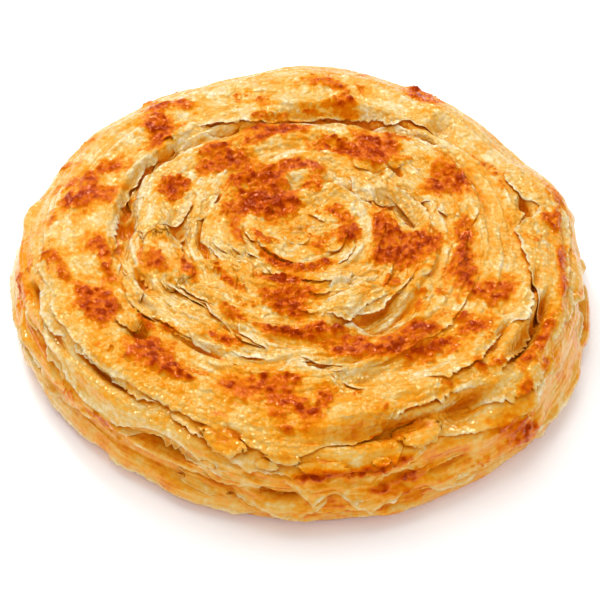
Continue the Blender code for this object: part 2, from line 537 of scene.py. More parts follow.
class EdgeLine:
    """A layer's edge by angle: its reach, how free it is, and how its ends fade out."""

    def __init__(self, layer, seed):
        degrees, reach = np.array(layer.line, dtype=float).T
        self.start, self.stop = math.radians(degrees[0]), math.radians(degrees[-1])
        fine = np.arange(self.start - 4 * LINE_STEP, self.stop + 5 * LINE_STEP, LINE_STEP)
        line = np.interp(np.degrees(fine), degrees, reach * MM)
        self.fine = fine[2:-2]
        self.line = np.convolve(line, bell(7), "valid")
        self.inner, self.outer = reach.min() * MM, reach.max() * MM
        self.radius = max(float(radius_at(reach.mean() * MM)), LEAST_RADIUS)
        self.length = (self.stop - self.start) * self.radius
        self.layer, self.seed = layer, seed
        self.sign = 1.0 if layer.side == "in" else -1.0

    def along(self, angle):
        """How far along the edge an angle lies."""
        return (angle - self.start) * self.radius

    def ends(self, angle):
        """1 along most of the layer and 0 at its two ends."""
        fade = min(0.3 * self.length, 8 * MM)
        along = self.along(angle)
        return smooth(0.0, fade, along) * smooth(0.0, fade, self.length - along)

    def reach(self, angle):
        """The edge's reach. It sways, and is drawn back at the layer's two ends."""
        sway = 0.35 * MM * line_noise(self.along(angle), 11 * MM, self.seed)
        drawn_in = self.sign * 0.3 * self.layer.width * MM * (1.0 - self.ends(angle))
        return np.interp(angle, self.fine, self.line) + sway + drawn_in

    def freedom(self, angle):
        """1 where the edge stands clear and 0 where it is stuck down."""
        swing = 1.5 * line_noise(self.along(angle), 12 * MM, self.seed + 1)
        return smooth(-0.45, 0.45, swing + 2.0 * self.layer.free - 1.0) * self.ends(angle)

    def overhang(self, angle):
        """How far the torn lip reaches past the stuck part of the layer."""
        torn = 0.7 + 0.8 * self.layer.lift + self.layer.rag * lobes(self.along(angle), self.seed + 2)
        return np.maximum(torn, 0.1) * MM * self.freedom(angle)

    def lift(self, angle):
        """How high the torn lip stands, which is uneven."""
        uneven = 0.55 + 0.8 * line_noise(self.along(angle), 4 * MM, self.seed + 7)
        return 0.75 * self.layer.lift * MM * np.clip(uneven, 0.1, 1.4) * self.freedom(angle)


def past_edge(across, overhang):
    """How far along its overhang a spot lies, from the stuck edge, 0, to the torn one, 1."""
    return np.clip(-across / np.maximum(overhang, 0.05 * MM), 0.0, 1.0)


def lay(layer, seed, sizes):
    """Lays a layer on the pile. Returns the grids of its lips."""
    edge = EdgeLine(layer, seed)
    width = layer.width * MM
    ahead, behind = (LIP_ROOM, width) if layer.side == "in" else (width, LIP_ROOM)
    window = Window(PILE, edge.start, edge.stop, edge.inner - ahead, edge.outer + behind, sizes.drape)
    angle = window.angle[0]
    across = edge.sign * (window.reach - edge.reach(angle))
    ends, freedom = edge.ends(angle), edge.freedom(angle)
    rise = smooth(0.0, (0.35 + 1.3 * (1.0 - freedom)) * MM, across)
    body = ends * (1.0 - smooth(0.45 * width, width, across))
    folds = crumpled(edge.along(angle) + 0 * across, across, seed + 11, sizes.crumple)
    folds = folds * (1.0 - 0.4 * smooth(72 * MM, 78 * MM, window.reach))
    share = rise * np.clip(body / 0.35, 0.0, 1.0)
    ground, top = PILE.ground[window.cells], PILE.top[window.cells]
    bulk = layer.bulk * MM
    raised = ground + np.maximum(window.draped + (bulk + folds) * body - ground, 0.0) * share
    PILE.ground[window.cells] = raised
    PILE.tone[window.cells] += (layer.tone - PILE.tone[window.cells]) * share
    thin = freedom * (1.0 - smooth(0.3 * MM, 1.8 * MM, across))
    PILE.edge[window.cells] += (thin - PILE.edge[window.cells]) * share
    if layer.lift <= 0.0:
        PILE.top[window.cells] = np.maximum(top, raised)
        return []
    overhang, lift = edge.overhang(angle), edge.lift(angle)
    past = past_edge(across, overhang)
    hangs = (across > -overhang) & (across < 0.4 * MM) & (overhang > 0.15 * MM)
    lip = np.where(hangs, window.draped + bulk + lift * past, -1.0)
    PILE.top[window.cells] = np.maximum(np.maximum(top, raised), lip)
    return lip_grids(edge, window, sizes, seed)


def lip_grids(edge, window, sizes, seed):
    """The places of a layer's torn lips, one grid for each stretch that is free."""
    rows = max(8, int(edge.length / GRID_STEP)) + 1
    angle = np.linspace(edge.start, edge.stop, rows)
    clear = np.concatenate([[False], edge.freedom(angle) > 0.02, [False]])
    turns = np.nonzero(clear[1:] != clear[:-1])[0].reshape(-1, 2)
    stretches = [angle[max(0, first - 2) : last + 2] for first, last in turns if last - first > 5]
    return [lip_grid(edge, stretch, window, sizes, seed) for stretch in stretches]


def lip_grid(edge, angle, window, sizes, seed):
    """A torn lip, which runs back under the crust. Its columns run outwards."""
    overhang, lift = edge.overhang(angle)[:, None], edge.lift(angle)[:, None]
    stuck = 1.0 - smooth(0.0, 0.5, edge.freedom(angle)[:, None])
    columns = max(7, int((overhang.max() + STRIP) / GRID_STEP) + 1)
    across = -overhang + (overhang + STRIP) * np.linspace(0.0, 1.0, columns)[None, :]
    if edge.layer.side == "out":
        across = across[:, ::-1]
    reach = np.clip(edge.reach(angle)[:, None] + edge.sign * across, 0.3 * MM, REACH_END)
    spread = np.repeat(angle[:, None], columns, 1)
    folds = crumpled(edge.along(spread), across, seed + 11, sizes.crumple)
    past = past_edge(across, overhang)
    offset = window.read(window.draped, spread, reach) + edge.layer.bulk * MM + folds * edge.ends(spread)
    offset += 0.07 * MM + lift * past**1.2
    offset -= 0.9 * MM * smooth(0.8 * MM, STRIP, across) + 0.8 * MM * stuck
    thin = 1.0 - smooth(0.0, 1.8 * MM, across + overhang)
    tone = np.full(reach.shape, edge.layer.tone)
    return {"angle": spread, "reach": reach, "offset": offset, "edge": thin, "tone": tone}


def lay_flake(flake, seed, sizes):
    """Lays a small torn flake, stuck down at one side. Returns its grid in a list."""
    middle, half = flake.reach * MM, flake.along * MM
    radius = max(float(radius_at(middle)), LEAST_RADIUS)
    centre, spread = math.radians(flake.degrees), half / radius
    width = flake.across * MM
    reach_to = 1.3 * width + abs(flake.lean) * MM
    window = Window(PILE, centre - 1.3 * spread, centre + 1.3 * spread, middle - reach_to,
                    middle + reach_to, sizes.drape)
    across = np.linspace(-1.0, 1.0, max(6, int(2 * width / GRID_STEP)) + 1)[None, :]
    along = np.linspace(-1.0, 1.0, max(6, int(2 * half / GRID_STEP)) + 1)[:, None]
    turn = np.arctan2(across, along)
    ragged = 1.0 + flake.rag * 0.3 * noise(2.2 * np.cos(turn), 2.2 * np.sin(turn), 0.0, seed)
    ragged += flake.rag * 0.35 * np.abs(noise(6.0 * np.cos(turn), 6.0 * np.sin(turn), 3.0, seed))
    narrow = np.maximum(1.0 - np.abs(along) ** 2.4, 0.0) ** 0.5 * 0.96 + 0.04
    far = np.maximum(np.abs(along), np.abs(across))
    ragged = 1.0 + (ragged - 1.0) * far
    angle = centre + along * spread * ragged
    reach = middle + (across * narrow * ragged * width) + 0.5 * along * flake.lean * MM
    stuck = {"i": -across, "o": across, "a": -along, "z": along}[flake.stuck] + 0 * far
    loose = smooth(1.0, -0.6, stuck)
    folds = crumpled(along * half + 0 * far, across * width + 0 * far, seed + 3, sizes.crumple)
    offset = window.read(window.draped, angle, reach) + sizes.skin + folds
    offset += flake.lift * MM * loose * (0.35 + 0.65 * far**2) - 0.7 * MM * smooth(0.4, 1.0, stuck)
    thin = 0.7 * smooth(0.7, 1.0, far) * smooth(1.0, 0.75, np.abs(along)) * loose
    near = ellipse_distance(window.angle, window.reach, flake.degrees, flake.reach, flake.along,
                            flake.across)
    top = PILE.top[window.cells]
    level = window.draped + sizes.skin + 0.5 * flake.lift * MM
    PILE.top[window.cells] = np.where(near < 0.95, np.maximum(top, level), top)
    tone = np.full(reach.shape, flake.tone)
    return [{"angle": angle, "reach": reach, "offset": offset, "edge": thin, "tone": tone}]


def lay_all(name, rows, sizes, before=0):
    """Lays layers and flakes in order, and makes one piece of their lips. Before tells how many
    of the table's rows are on another piece."""
    grids = []
    for count, row in enumerate(rows, before):
        seed = FIRST_SEED[name] + SEED_STEP * count
        grids += lay_flake(row, seed, sizes) if isinstance(row, Flake) else lay(row, seed, sizes)
    form = bmesh.new()
    for grid in grids:
        long, wide = grid["angle"].shape
        bmesh.ops.create_grid(form, x_segments=wide - 1, y_segments=long - 1, size=0.5)
    mesh = bpy.data.meshes.new(name)
    form.to_mesh(mesh)
    form.free()
    piece = finish_piece(name, mesh)
    data = {key: np.concatenate([grid[key].ravel() for grid in grids]) for key in grids[0]}
    PIECES[name] = data
    wall = piece.vertex_groups.new(name="wall")
    weight = 1.0 - (1.0 - sizes.lip / sizes.skin) * data["edge"]
    levels = np.round(weight * 10).astype(int)
    for level in np.unique(levels):
        wall.add(np.nonzero(levels == level)[0].tolist(), level / 10.0, "REPLACE")
    solid = piece.modifiers.new("thickness", "SOLIDIFY")
    solid.thickness = sizes.skin
    solid.offset = -1.0
    solid.vertex_group = "wall"


def finish_piece(name, mesh):
    """Puts a mesh in the scene as a piece of the bread."""
    mesh.shade_smooth()
    piece = bpy.data.objects.new(name, mesh)
    bpy.context.scene.collection.objects.link(piece)
    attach(piece, BODY)
    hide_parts(NODE)
    return piece


# ---------------------------------------------------------------- the crust

# The crust is made in rings: (name, first and last reach in millimetres, rows, sectors).
CRUST_RINGS = (
    ("heart_crust", 0.0, 24.0, 80, 480),
    ("inner_crust", 24.0, 50.0, 88, 960),
    ("outer_crust", 50.0, 75.0, 78, 1120),
    ("side_crust", 75.0, REACH_END / MM, 72, 1080),
)
HIDDEN_DEPTH = 9.0 * MM
UNDERSIDE_ROWS = 12
# The level of a point tells what it belongs to: the face, the hidden back of a ring, which lies
# HIDDEN_DEPTH inside the bread, or the underside. The first two end halfway to the next level.
FACE, HIDDEN, UNDER = 0.0, -1.0, -2.0
FACE_ENDS, HIDDEN_ENDS = -0.5, -1.5


def boundary(form, outer, middle):
    """The open edges on the outer or the inner side of a ring."""
    edges = [edge for edge in form.edges if edge.is_boundary]
    far = [(edge.verts[0].co.xy.length > middle) == outer for edge in edges]
    return [edge for edge, chosen in zip(edges, far) if chosen]


def drawn_out(form, edges, level, shrink=1.0):
    """Extrudes a loop of edges to another level, and returns the new loop."""
    made = bmesh.ops.extrude_edge_only(form, edges=edges)["geom"]
    for item in made:
        if isinstance(item, bmesh.types.BMVert):
            item.co = (item.co.x * shrink, item.co.y * shrink, level)
    return [item for item in made if isinstance(item, bmesh.types.BMEdge) and item.is_boundary]


def capped(form, edges):
    """Closes a loop with a fan of faces round one middle point."""
    faces = bmesh.ops.edgeloop_fill(form, edges=edges)["faces"]
    bmesh.ops.poke(form, faces=faces)


def crust_ring(name, first, last, rows, sectors):
    """A closed ring of crust. It is made flat, with its reach as its radius, and placed later."""
    form = bmesh.new()
    bmesh.ops.create_grid(form, x_segments=rows, y_segments=sectors, size=0.5)
    reach = np.tile(np.linspace(first * MM, last * MM, rows + 1), sectors + 1)
    angle = np.repeat(np.linspace(0.0, math.tau, sectors + 1) % math.tau, rows + 1)
    for vertex, x, y in zip(form.verts, reach * np.cos(angle), reach * np.sin(angle)):
        vertex.co = (x, y, FACE)
    bmesh.ops.remove_doubles(form, verts=form.verts, dist=1e-7)
    middle = 0.5 * (first + last) * MM
    rims = [boundary(form, False, middle), boundary(form, True, middle)]
    for edge in rims[0] + rims[1]:
        edge.smooth = False
    if name == "side_crust":
        capped(form, drawn_out(form, rims[0], HIDDEN))
        loop = drawn_out(form, rims[1], UNDER, 1.0 - 1.0 / UNDERSIDE_ROWS)
        for row in range(1, UNDERSIDE_ROWS - 1):
            loop = drawn_out(form, loop, UNDER, 1.0 - 1.0 / (UNDERSIDE_ROWS - row))
        capped(form, loop)
    elif first == 0.0:
        capped(form, drawn_out(form, rims[1], HIDDEN))
    else:
        hidden = drawn_out(form, rims[0], HIDDEN) + drawn_out(form, rims[1], HIDDEN)
        bmesh.ops.bridge_loops(form, edges=hidden)
    bmesh.ops.recalc_face_normals(form, faces=form.faces)
    mesh = bpy.data.meshes.new(name)
    form.to_mesh(mesh)
    form.free()
    finish_piece(name, mesh)
    PIECES[name] = crust_data(mesh)


def crust_data(mesh):
    """Angle, reach and height of each point of a crust ring, read from the pile."""
    raw = np.zeros(len(mesh.vertices) * 3)
    mesh.vertices.foreach_get("co", raw)
    x, y, level = raw.reshape(-1, 3).T
    angle, reach = np.arctan2(y, x), np.minimum(np.hypot(x, y), REACH_END)
    ground = PILE.read(PILE.ground, angle, reach)
    offset = np.where(level < FACE_ENDS, -HIDDEN_DEPTH, ground)
    return {
        "angle": angle,
        "reach": reach,
        "offset": offset,
        "edge": PILE.read(PILE.edge, angle, reach),
        "tone": PILE.read(PILE.tone, angle, reach),
        "level": level,
    }


# ---------------------------------------------------------------- frying

# Browned patches: (degrees, reach, half length along, half width across, strength from 0 to 1).
PATCHES = (
    (150, 16.5, 3.5, 3.5, 1.0), (143, 12.5, 3, 3, 1.0), (125, 9.5, 3, 2.5, 0.95), (118, 13, 3.2, 3, 1.0),
    (107, 10, 2, 2.5, 0.9), (135, 17.5, 4, 2, 0.95), (125, 20, 4, 2.2, 0.65), (115, 21.5, 4, 2, 0.7),
    (108, 18.5, 2, 1.8, 0.8), (120, 24, 5, 2, 0.6), (105, 24, 5, 1.5, 0.6), (92, 25, 5, 1.5, 0.7),
    (85, 23.5, 4, 1.3, 0.7), (75, 18, 2.5, 2, 0.7), (86, 15, 3.5, 1.3, 0.6), (130, 25, 4, 2, 0.75),
    (40, 12, 1.6, 1.2, 0.55), (28, 12.3, 2.4, 1.8, 0.8), (12, 13.5, 1.8, 1.5, 0.75),
    (355, 14, 2.5, 1.6, 0.85), (345, 14.8, 2, 1.3, 0.8), (340, 12, 2, 1.2, 0.75), (50, 7.5, 3, 1.6, 0.5),
    (180, 2.5, 1.5, 1.2, 0.45), (0, 2.8, 1.8, 1.5, 0.5), (280, 3.5, 2, 1.2, 0.45),
    (320, 7.5, 2.5, 1.5, 0.55), (310, 9, 1.8, 1.2, 0.65), (345, 9, 1.5, 1.3, 0.5), (222, 8, 2, 1.3, 0.4),
    (202, 11.5, 2, 1.1, 0.85), (212, 10, 1.5, 1, 0.6), (225, 14, 2, 1.1, 0.6), (237, 14, 1.8, 1, 0.85),
    (245, 14.8, 2.5, 1.2, 0.85), (256, 15.5, 2.5, 1.2, 0.9), (270, 15.5, 2, 0.8, 0.6),
    (284, 15.3, 3, 1.2, 0.85), (296, 14.5, 2.5, 1, 0.65), (178, 17, 2.5, 1, 0.6),
    (190, 17.5, 3.5, 0.8, 0.65), (200, 17, 3, 0.8, 0.55), (172, 22, 2.5, 1.5, 0.4),
    (160, 21.5, 2, 1.5, 0.45), (0, 22.5, 2.5, 2, 0.7), (357, 25.5, 2, 1.5, 0.6), (333, 23.5, 3, 1.8, 0.85),
    (338, 26, 3.5, 2, 0.95), (335, 29, 2.5, 2, 0.9), (345, 27.5, 4, 2, 1.0), (348, 24.5, 3, 1.5, 0.95),
    (343, 32, 4, 2, 0.9), (347, 35, 4, 1.6, 0.95), (351, 31, 2.5, 2, 0.85), (352, 36.5, 2.5, 1.5, 0.8),
    (354, 21.5, 4, 1.2, 0.8), (2, 21, 3, 1, 0.75), (247, 21.3, 3.5, 0.9, 0.85), (256, 21, 3, 0.9, 0.95),
    (265, 21, 3, 1, 0.9), (268, 24, 3, 1.2, 0.85), (274, 25, 1.5, 1.2, 0.8), (258, 26.3, 4, 1.2, 0.85),
    (264, 27.5, 4, 1.5, 0.9), (262, 30.5, 4, 1.5, 0.8), (267, 32, 2.5, 1, 0.9), (252, 27.5, 2, 1.5, 0.6),
    (14, 24, 3, 1.2, 0.55), (21, 21.5, 2.5, 0.8, 0.45), (24, 41, 2, 2, 0.95), (27, 43, 1.5, 2, 0.85),
    (21, 46.5, 2.2, 2, 0.85), (32, 46, 1.8, 1.8, 0.8), (24, 49.5, 3.5, 1.4, 0.85), (28, 46, 4, 3.5, 0.5),
    (359, 43.5, 4, 1.8, 0.9), (0, 45.5, 3.5, 0.9, 0.85), (44, 42.5, 1.5, 1, 0.6), (58, 35, 4, 2.5, 0.95),
    (55, 38.5, 3.5, 2.5, 0.95), (57, 42, 3.5, 2.5, 0.9), (63, 40, 3, 2.5, 0.9), (64, 34.5, 3, 1.5, 0.9),
    (52, 43.5, 2, 1.2, 0.7), (52, 48.5, 3, 1, 0.65), (58, 47.5, 3, 1.2, 0.6), (17, 58.5, 2.5, 0.9, 0.7),
    (25, 59.5, 3, 0.7, 0.55), (32, 58, 3, 1.2, 0.6), (28, 61.5, 2.5, 1, 0.4), (358, 64, 2, 2, 0.6),
    (5, 67.5, 2, 1.5, 0.85), (5, 70, 2.5, 1.2, 0.85), (356, 70.5, 3, 1, 0.7), (10, 71.5, 2.5, 1.2, 0.6),
    (14, 73.5, 2.5, 1.2, 0.65), (17, 70, 2, 1.5, 0.45), (70, 33, 5, 1, 0.8), (78, 35, 3, 1, 0.65),
    (72, 37, 4, 0.8, 0.6), (84, 33, 2.5, 1.5, 0.45), (90, 39.5, 3, 2, 0.7), (97, 40.5, 3, 1.8, 0.95),
    (104, 41, 3.5, 2.5, 0.85), (110, 38, 4, 1.5, 0.7), (107, 44, 3, 1, 0.6), (103, 48.5, 3, 1.1, 0.7),
    (95, 49, 2, 0.6, 0.5), (77, 54.8, 3, 1.2, 1.0), (78, 58, 1.5, 2, 0.6), (84, 62, 4, 1.5, 0.8),
    (80, 60, 2, 1.5, 0.6), (74, 61.5, 2, 1, 0.6), (82, 66, 1.5, 1.5, 0.5), (86, 51.5, 3, 0.5, 0.6),
    (101, 56, 2.5, 2, 0.6), (107, 60, 2.5, 1.5, 0.55), (109, 55, 2, 2, 0.45), (61, 73, 4, 4.5, 0.8),
    (60, 67, 2.5, 2, 0.6), (56, 70, 1.5, 4, 0.5), (76, 73, 2.5, 4, 0.5), (83, 79, 2, 2, 0.6),
    (122, 31, 2.5, 1.5, 0.7), (121, 34.5, 2.5, 2, 0.8), (126, 33, 3, 2, 0.6), (130, 36, 3, 1.5, 0.8),
    (133, 34, 3, 1.2, 0.85), (138, 36.5, 2.5, 1.5, 0.7), (125, 27.5, 4, 1.2, 0.75), (128, 41, 3.5, 2, 0.8),
    (125, 39.5, 2.5, 1.2, 0.7), (155, 36, 3, 1.5, 0.75), (157, 38.5, 3.5, 1.8, 0.9),
    (152, 37, 2.5, 1.2, 0.7), (160, 36, 1.5, 1, 0.6), (154, 40.5, 2.5, 0.8, 0.6), (137, 55, 2.5, 1.5, 1.0),
    (134, 57.5, 3, 2.2, 0.95), (133, 61.5, 2.5, 2.5, 0.9), (130, 66, 2.5, 2.5, 0.75),
    (122, 62.5, 1.8, 1.8, 0.8), (124, 66, 2.5, 2, 0.7), (127, 68, 2, 2, 0.7), (127, 75, 1.5, 4, 0.6),
    (144, 56.5, 1.5, 1.5, 0.45), (153, 57, 2.5, 2, 0.8), (155, 60, 2, 1.5, 0.65), (164, 53.5, 3, 1.5, 0.8),
    (165, 57, 2.5, 2, 0.95), (167, 59.5, 4, 1.8, 1.0), (169, 61.5, 2.5, 1.5, 1.0),
    (160, 61.5, 2.5, 1.8, 0.95), (168, 64, 2.5, 1, 0.9), (162, 66, 2.5, 1, 0.7), (175, 67, 2.5, 1.2, 0.6),
    (163, 71, 3, 0.8, 0.55), (145, 74, 1.5, 3, 0.5), (154, 74, 2.5, 3, 0.55), (119, 79, 2, 2, 0.6),
    (186, 55, 2.5, 1.8, 0.95), (191, 53, 3.5, 1.2, 0.85), (198, 53.5, 3.5, 1, 0.75),
    (207, 57.5, 3.5, 1.8, 0.9), (203, 61.5, 3, 1.8, 0.95), (207, 63, 3.5, 2, 1.0), (212, 62, 3, 2, 0.95),
    (212, 58.5, 2.5, 1.5, 0.8), (196, 64.5, 2.5, 1, 0.75), (190, 66, 2.5, 1.5, 0.75),
    (187, 68, 2.5, 1.5, 0.8), (201, 40.5, 3, 1.8, 0.9), (196, 40, 3, 1, 0.65), (190, 36, 2.5, 1.2, 0.5),
    (208, 33.5, 3.5, 1, 0.75), (214, 35, 3, 0.7, 0.6), (222, 27.5, 6, 1, 0.55), (232, 28.5, 4, 1, 0.5),
    (240, 36.5, 3.5, 1, 0.65), (243, 38, 2.5, 0.8, 0.6), (242, 32, 4, 0.8, 0.5), (245, 46, 3, 1.4, 0.9),
    (249, 46, 2.5, 1, 0.65), (230, 57, 4, 1.5, 0.85), (226, 59.5, 2.5, 1.8, 0.95), (232, 61, 4, 2.2, 0.95),
    (238, 61.5, 3.5, 2, 0.9), (230, 64.5, 4, 1.5, 0.85), (242, 61.5, 2, 1.2, 0.8), (222, 67, 2, 1.5, 0.5),
    (234, 53.5, 3, 1, 0.5), (245, 58, 2.5, 1, 0.6), (221, 53.5, 3, 0.6, 0.9), (228, 51, 3, 0.7, 0.6),
    (187, 74, 2, 1.5, 0.5), (252, 59, 2.5, 0.8, 0.85), (257, 57, 3.5, 2, 0.85), (262, 54.5, 3.5, 1.8, 0.8),
    (268, 54, 2, 1.2, 0.8), (265, 58.5, 3, 2, 0.9), (270, 62, 2, 1.5, 0.9), (272, 64, 2, 1.5, 1.0),
    (267, 61, 3, 1.5, 0.8), (258, 61.5, 3, 1.5, 0.7), (265, 64, 2, 2, 0.7), (276, 59, 1.5, 1.8, 0.85),
    (275, 62.5, 1.2, 1.2, 0.7), (283, 60, 1.5, 1.8, 0.55), (268, 68.5, 2.5, 0.8, 0.6),
    (276, 37.5, 2.5, 1.8, 0.9), (282, 38.5, 3, 1, 0.85), (265, 39, 3, 1, 0.9), (260, 39, 3, 1, 0.7),
    (270, 39.7, 3, 0.6, 0.9), (255, 37.5, 3, 0.8, 0.55), (277, 41.5, 3, 1, 0.6), (286, 43, 4, 1.5, 0.8),
    (290, 42, 2, 1, 0.9), (289, 46, 3.5, 1.5, 0.9), (283, 46, 2, 1.2, 0.8), (296, 46.5, 3.5, 2, 0.9),
    (296, 50, 3, 1, 0.85), (302, 48.5, 3.5, 2, 1.0), (302, 52.5, 3, 1, 0.95), (289, 65.5, 4, 0.7, 0.5),
    (302, 65.5, 2.5, 0.5, 0.6), (308, 47, 3, 2, 0.95), (312, 49, 1.5, 1, 0.9), (309, 53.5, 3, 1.1, 0.95),
    (314, 54.5, 2.5, 1, 0.7), (304, 56, 3, 1, 0.7), (311, 57.5, 3, 1.2, 0.55), (322, 53, 2.2, 1.8, 0.8),
    (320, 56, 2, 1.5, 0.85), (323, 58, 2, 1.2, 0.85), (333, 55.5, 3.5, 1.2, 0.85),
    (338, 57.5, 3, 1.2, 0.9), (335, 53, 2.2, 1.8, 0.85), (333, 51, 2, 1, 0.7), (321, 61, 2, 0.8, 0.5),
    (319, 31.5, 1.5, 1.5, 0.8), (322, 30.5, 2, 1, 0.45), (317, 42, 1.5, 1.3, 0.7),
    (322, 39, 1.8, 1.5, 0.65), (327, 43, 1.5, 1.2, 0.65), (328, 48.5, 2, 1.5, 0.6), (321, 47, 1.5, 2, 0.5),
    (343, 43, 4, 1.2, 0.85), (348, 44.5, 3, 1.5, 0.85), (338, 46, 3, 1.8, 0.85), (337, 48.5, 2.5, 1, 0.75),
    (342, 47, 2.5, 1.2, 0.7), (312, 65.5, 2, 1.2, 0.85), (316, 67.5, 2.5, 0.6, 0.7),
    (323, 71, 2.5, 0.9, 0.9), (328, 71.5, 2.5, 0.8, 0.95), (333, 71, 3, 0.8, 0.85),
    (345, 71, 4, 0.9, 0.75), (352, 70.5, 4, 0.9, 0.75), (188, 79, 3, 2, 0.6), (192, 82, 2.5, 2.5, 0.5),
    (195, 77, 3, 1.2, 0.5), (219, 83, 4, 1.5, 0.5), (229, 83, 4, 0.8, 0.85), (276, 78.5, 6, 1, 0.85),
    (272, 78, 3, 1, 0.9), (283, 78, 3, 0.8, 0.8), (288, 77.5, 2, 0.8, 0.8), (284, 84, 3, 1, 0.85),
    (290, 82.5, 3.5, 1.2, 0.85), (288, 86, 2.5, 0.8, 0.7), (312, 82, 3, 2, 0.8), (313, 85, 3.5, 2, 0.85),
    (315, 87, 3.5, 1.2, 0.75), (304, 87, 3, 1.2, 0.6), (309, 80, 2, 0.7, 0.7), (287, 71.3, 3.5, 0.9, 1.0),
    (330, 77, 3, 1.5, 0.4), (325, 76, 2, 0.6, 0.7), (317, 75.3, 2, 0.5, 0.8),
)


def browning(angle, reach):
    """How brown the skin is, from 0 to 1: highest in the middle of each patch, with a wide halo."""
    x, y = reach * np.cos(angle) / MM, reach * np.sin(angle) / MM
    fray = 0.55 * noise(x / 3.0, y / 3.0, 0.0, 71) + 0.4 * noise(x / 1.4, y / 1.4, 0.0, 72)
    plain, halo = np.ones(len(angle)), np.zeros(len(angle))
    for degrees, middle, along, across, strength in PATCHES:
        far = ellipse_distance(angle, reach, degrees, middle, along + 0.4, across + 0.4) + 0.4 * fray
        plain *= 1.0 - 0.96 * strength * (1.0 - smooth(0.4, 2.1, far))
        halo = np.maximum(halo, 0.42 * strength * (1.0 - smooth(1.0, 3.3, far)))
    ragged = 0.22 * noise(x / 1.3, y / 1.3, 0.0, 73) + 0.14 * noise(x / 0.7, y / 0.7, 0.0, 74)
    full = 1.0 - plain
    strength = 0.5 + 0.45 * full**3 + 0.3 * noise(x / 2.0, y / 2.0, 0.0, 75)
    core = smooth(0.32, 0.62, full + ragged) * strength
    return np.maximum(core, halo)


# Where the skin is made darker or paler than elsewhere: (degrees, reach, half length along, half
# width across, amount), in millimetres. The darkening of the near side, at 270 degrees, is painted
# shade.
SHADE_AND_TONE = (
    (262, 66, 45, 9, 0.65), (270, 84, 90, 13, 0.95), (0, 62, 28, 9, 0.35), (340, 84, 60, 12, 0.4),
    (150, 60, 40, 9, -0.1), (196, 43, 12, 7, -0.3), (90, 5, 40, 34, -0.15),
)


def shade_and_tone_shift(angle, reach):
    """How much darker the skin is made than elsewhere, with painted shade on the near side."""
    amount = np.zeros(len(angle))
    for degrees, middle, along, across, extra in SHADE_AND_TONE:
        amount += extra * np.exp(-ellipse_distance(angle, reach, degrees, middle, along, across) ** 2)
    return amount


# Thin layers that lie like shingles: (spacing in millimetres, turns of the coil, height in
# millimetres, seed).
SHINGLES = ((3.1, 5, 0.8, 61), (1.7, -4, 0.5, 65), (1.0, 3, 0.2, 69))
# Patterns along the coil are read on a cylinder of this radius, so that they join up.
COIL_RADIUS = 50 * MM
BLISTER_SIZE = 2.7 * MM
# How far a spot lies below the pile round it where its painted shade starts to show, and where it
# shows fully: for a wide dip, under a layer that covers it, and for a narrow dip.
DEEP = (0.3 * MM, 3.0 * MM)
COVERED = (0.25 * MM, 1.2 * MM)
PITTED = (0.08 * MM, 0.5 * MM)
# The widths over which the height of the pile round a spot is taken, for wide and narrow dips.
WIDE_DIP, NARROW_DIP = 3.0 * MM, 0.9 * MM


def skin_relief(angle, reach):
    """Fine relief of the skin: (height in metres, painted highlight on crests, painted shade in creases).

    Thin layers lie like shingles along the coil, with gaps in their edges, and all the skin is
    pebbled with small rounded bumps."""
    x, y = COIL_RADIUS * np.cos(angle), COIL_RADIUS * np.sin(angle)
    inner = smooth(13 * MM, 20 * MM, reach) * smooth(58 * MM, 46 * MM, reach)
    side = smooth(72 * MM, 78 * MM, reach)
    strong = 0.15 + 0.75 * inner + 0.15 * side
    height, crest_highlight, crease = np.zeros(len(angle)), np.zeros(len(angle)), np.zeros(len(angle))
    for pitch, turns, size, seed in SHINGLES:
        warp = 1.2 * noise(x / (14 * MM), y / (14 * MM), reach / (8 * MM), seed)
        warp += 0.3 * noise(x / (4 * MM), y / (4 * MM), reach / (2.5 * MM), seed + 1)
        turn = (reach / (pitch * MM) + turns * angle / math.tau + warp) % 1.0
        gate = noise(x / (8 * MM), y / (8 * MM), reach / (1.2 * pitch * MM), seed + 2)
        gate = smooth(-0.15, 0.35, gate) * strong
        height += size * MM * gate * (turn**1.5 - 0.35) * smooth(1.0, 0.88, turn)
        crest_highlight += gate * smooth(0.66, 0.9, turn) * 0.8
        crease += gate * smooth(0.22, 0.02, turn) * 0.8
    stretch = 1.0 + 1.3 * inner + 1.0 * side
    ring = 2.3 * MM * stretch
    bumps = np.abs(noise(reach * np.cos(angle) / ring, reach * np.sin(angle) / ring,
                         reach / (3 * MM) * inner, 67))
    across = np.abs(noise(x / (3.2 * MM), y / (3.2 * MM), reach / (1.3 * MM), 68))
    height += (0.24 * bumps + 0.12 * across) * (1.0 - 0.85 * side) * MM
    crest_highlight += smooth(0.35, 0.8, bumps + 0.3 * across) * 0.6 * (1.0 - 0.6 * side)
    crease += (0.4 * smooth(0.12, 0.0, bumps) + 0.3 * smooth(0.12, 0.0, across)) * (1.0 - 0.8 * side)
    return height, np.clip(crest_highlight, 0.0, 1.0), np.clip(crease, 0.0, 1.0)


def blisters(points, size):
    """Rounded bubbles with sharp valleys between them, 0 to 1, at points in metres."""
    x, y, z = (points[:, k] / size for k in range(3))
    return np.abs(noise(x, y, z, 81)) + 0.4 * np.abs(noise(2.2 * x, 2.2 * y, 2.2 * z, 82))


def float_attribute(mesh, name, values):
    """Stores one number for each point, for the material to read."""
    attribute = mesh.attributes.new(name, "FLOAT", "POINT")
    attribute.data.foreach_set("value", np.ascontiguousarray(values, dtype=np.float32))


def underside(angle, reach):
    """Points of the flat underside, which has the outline of the base."""
    points = place(angle, np.full(len(angle), REACH_END), 0.0) * (reach / REACH_END)[:, None]
    points[:, 2] = CLEARANCE
    return points


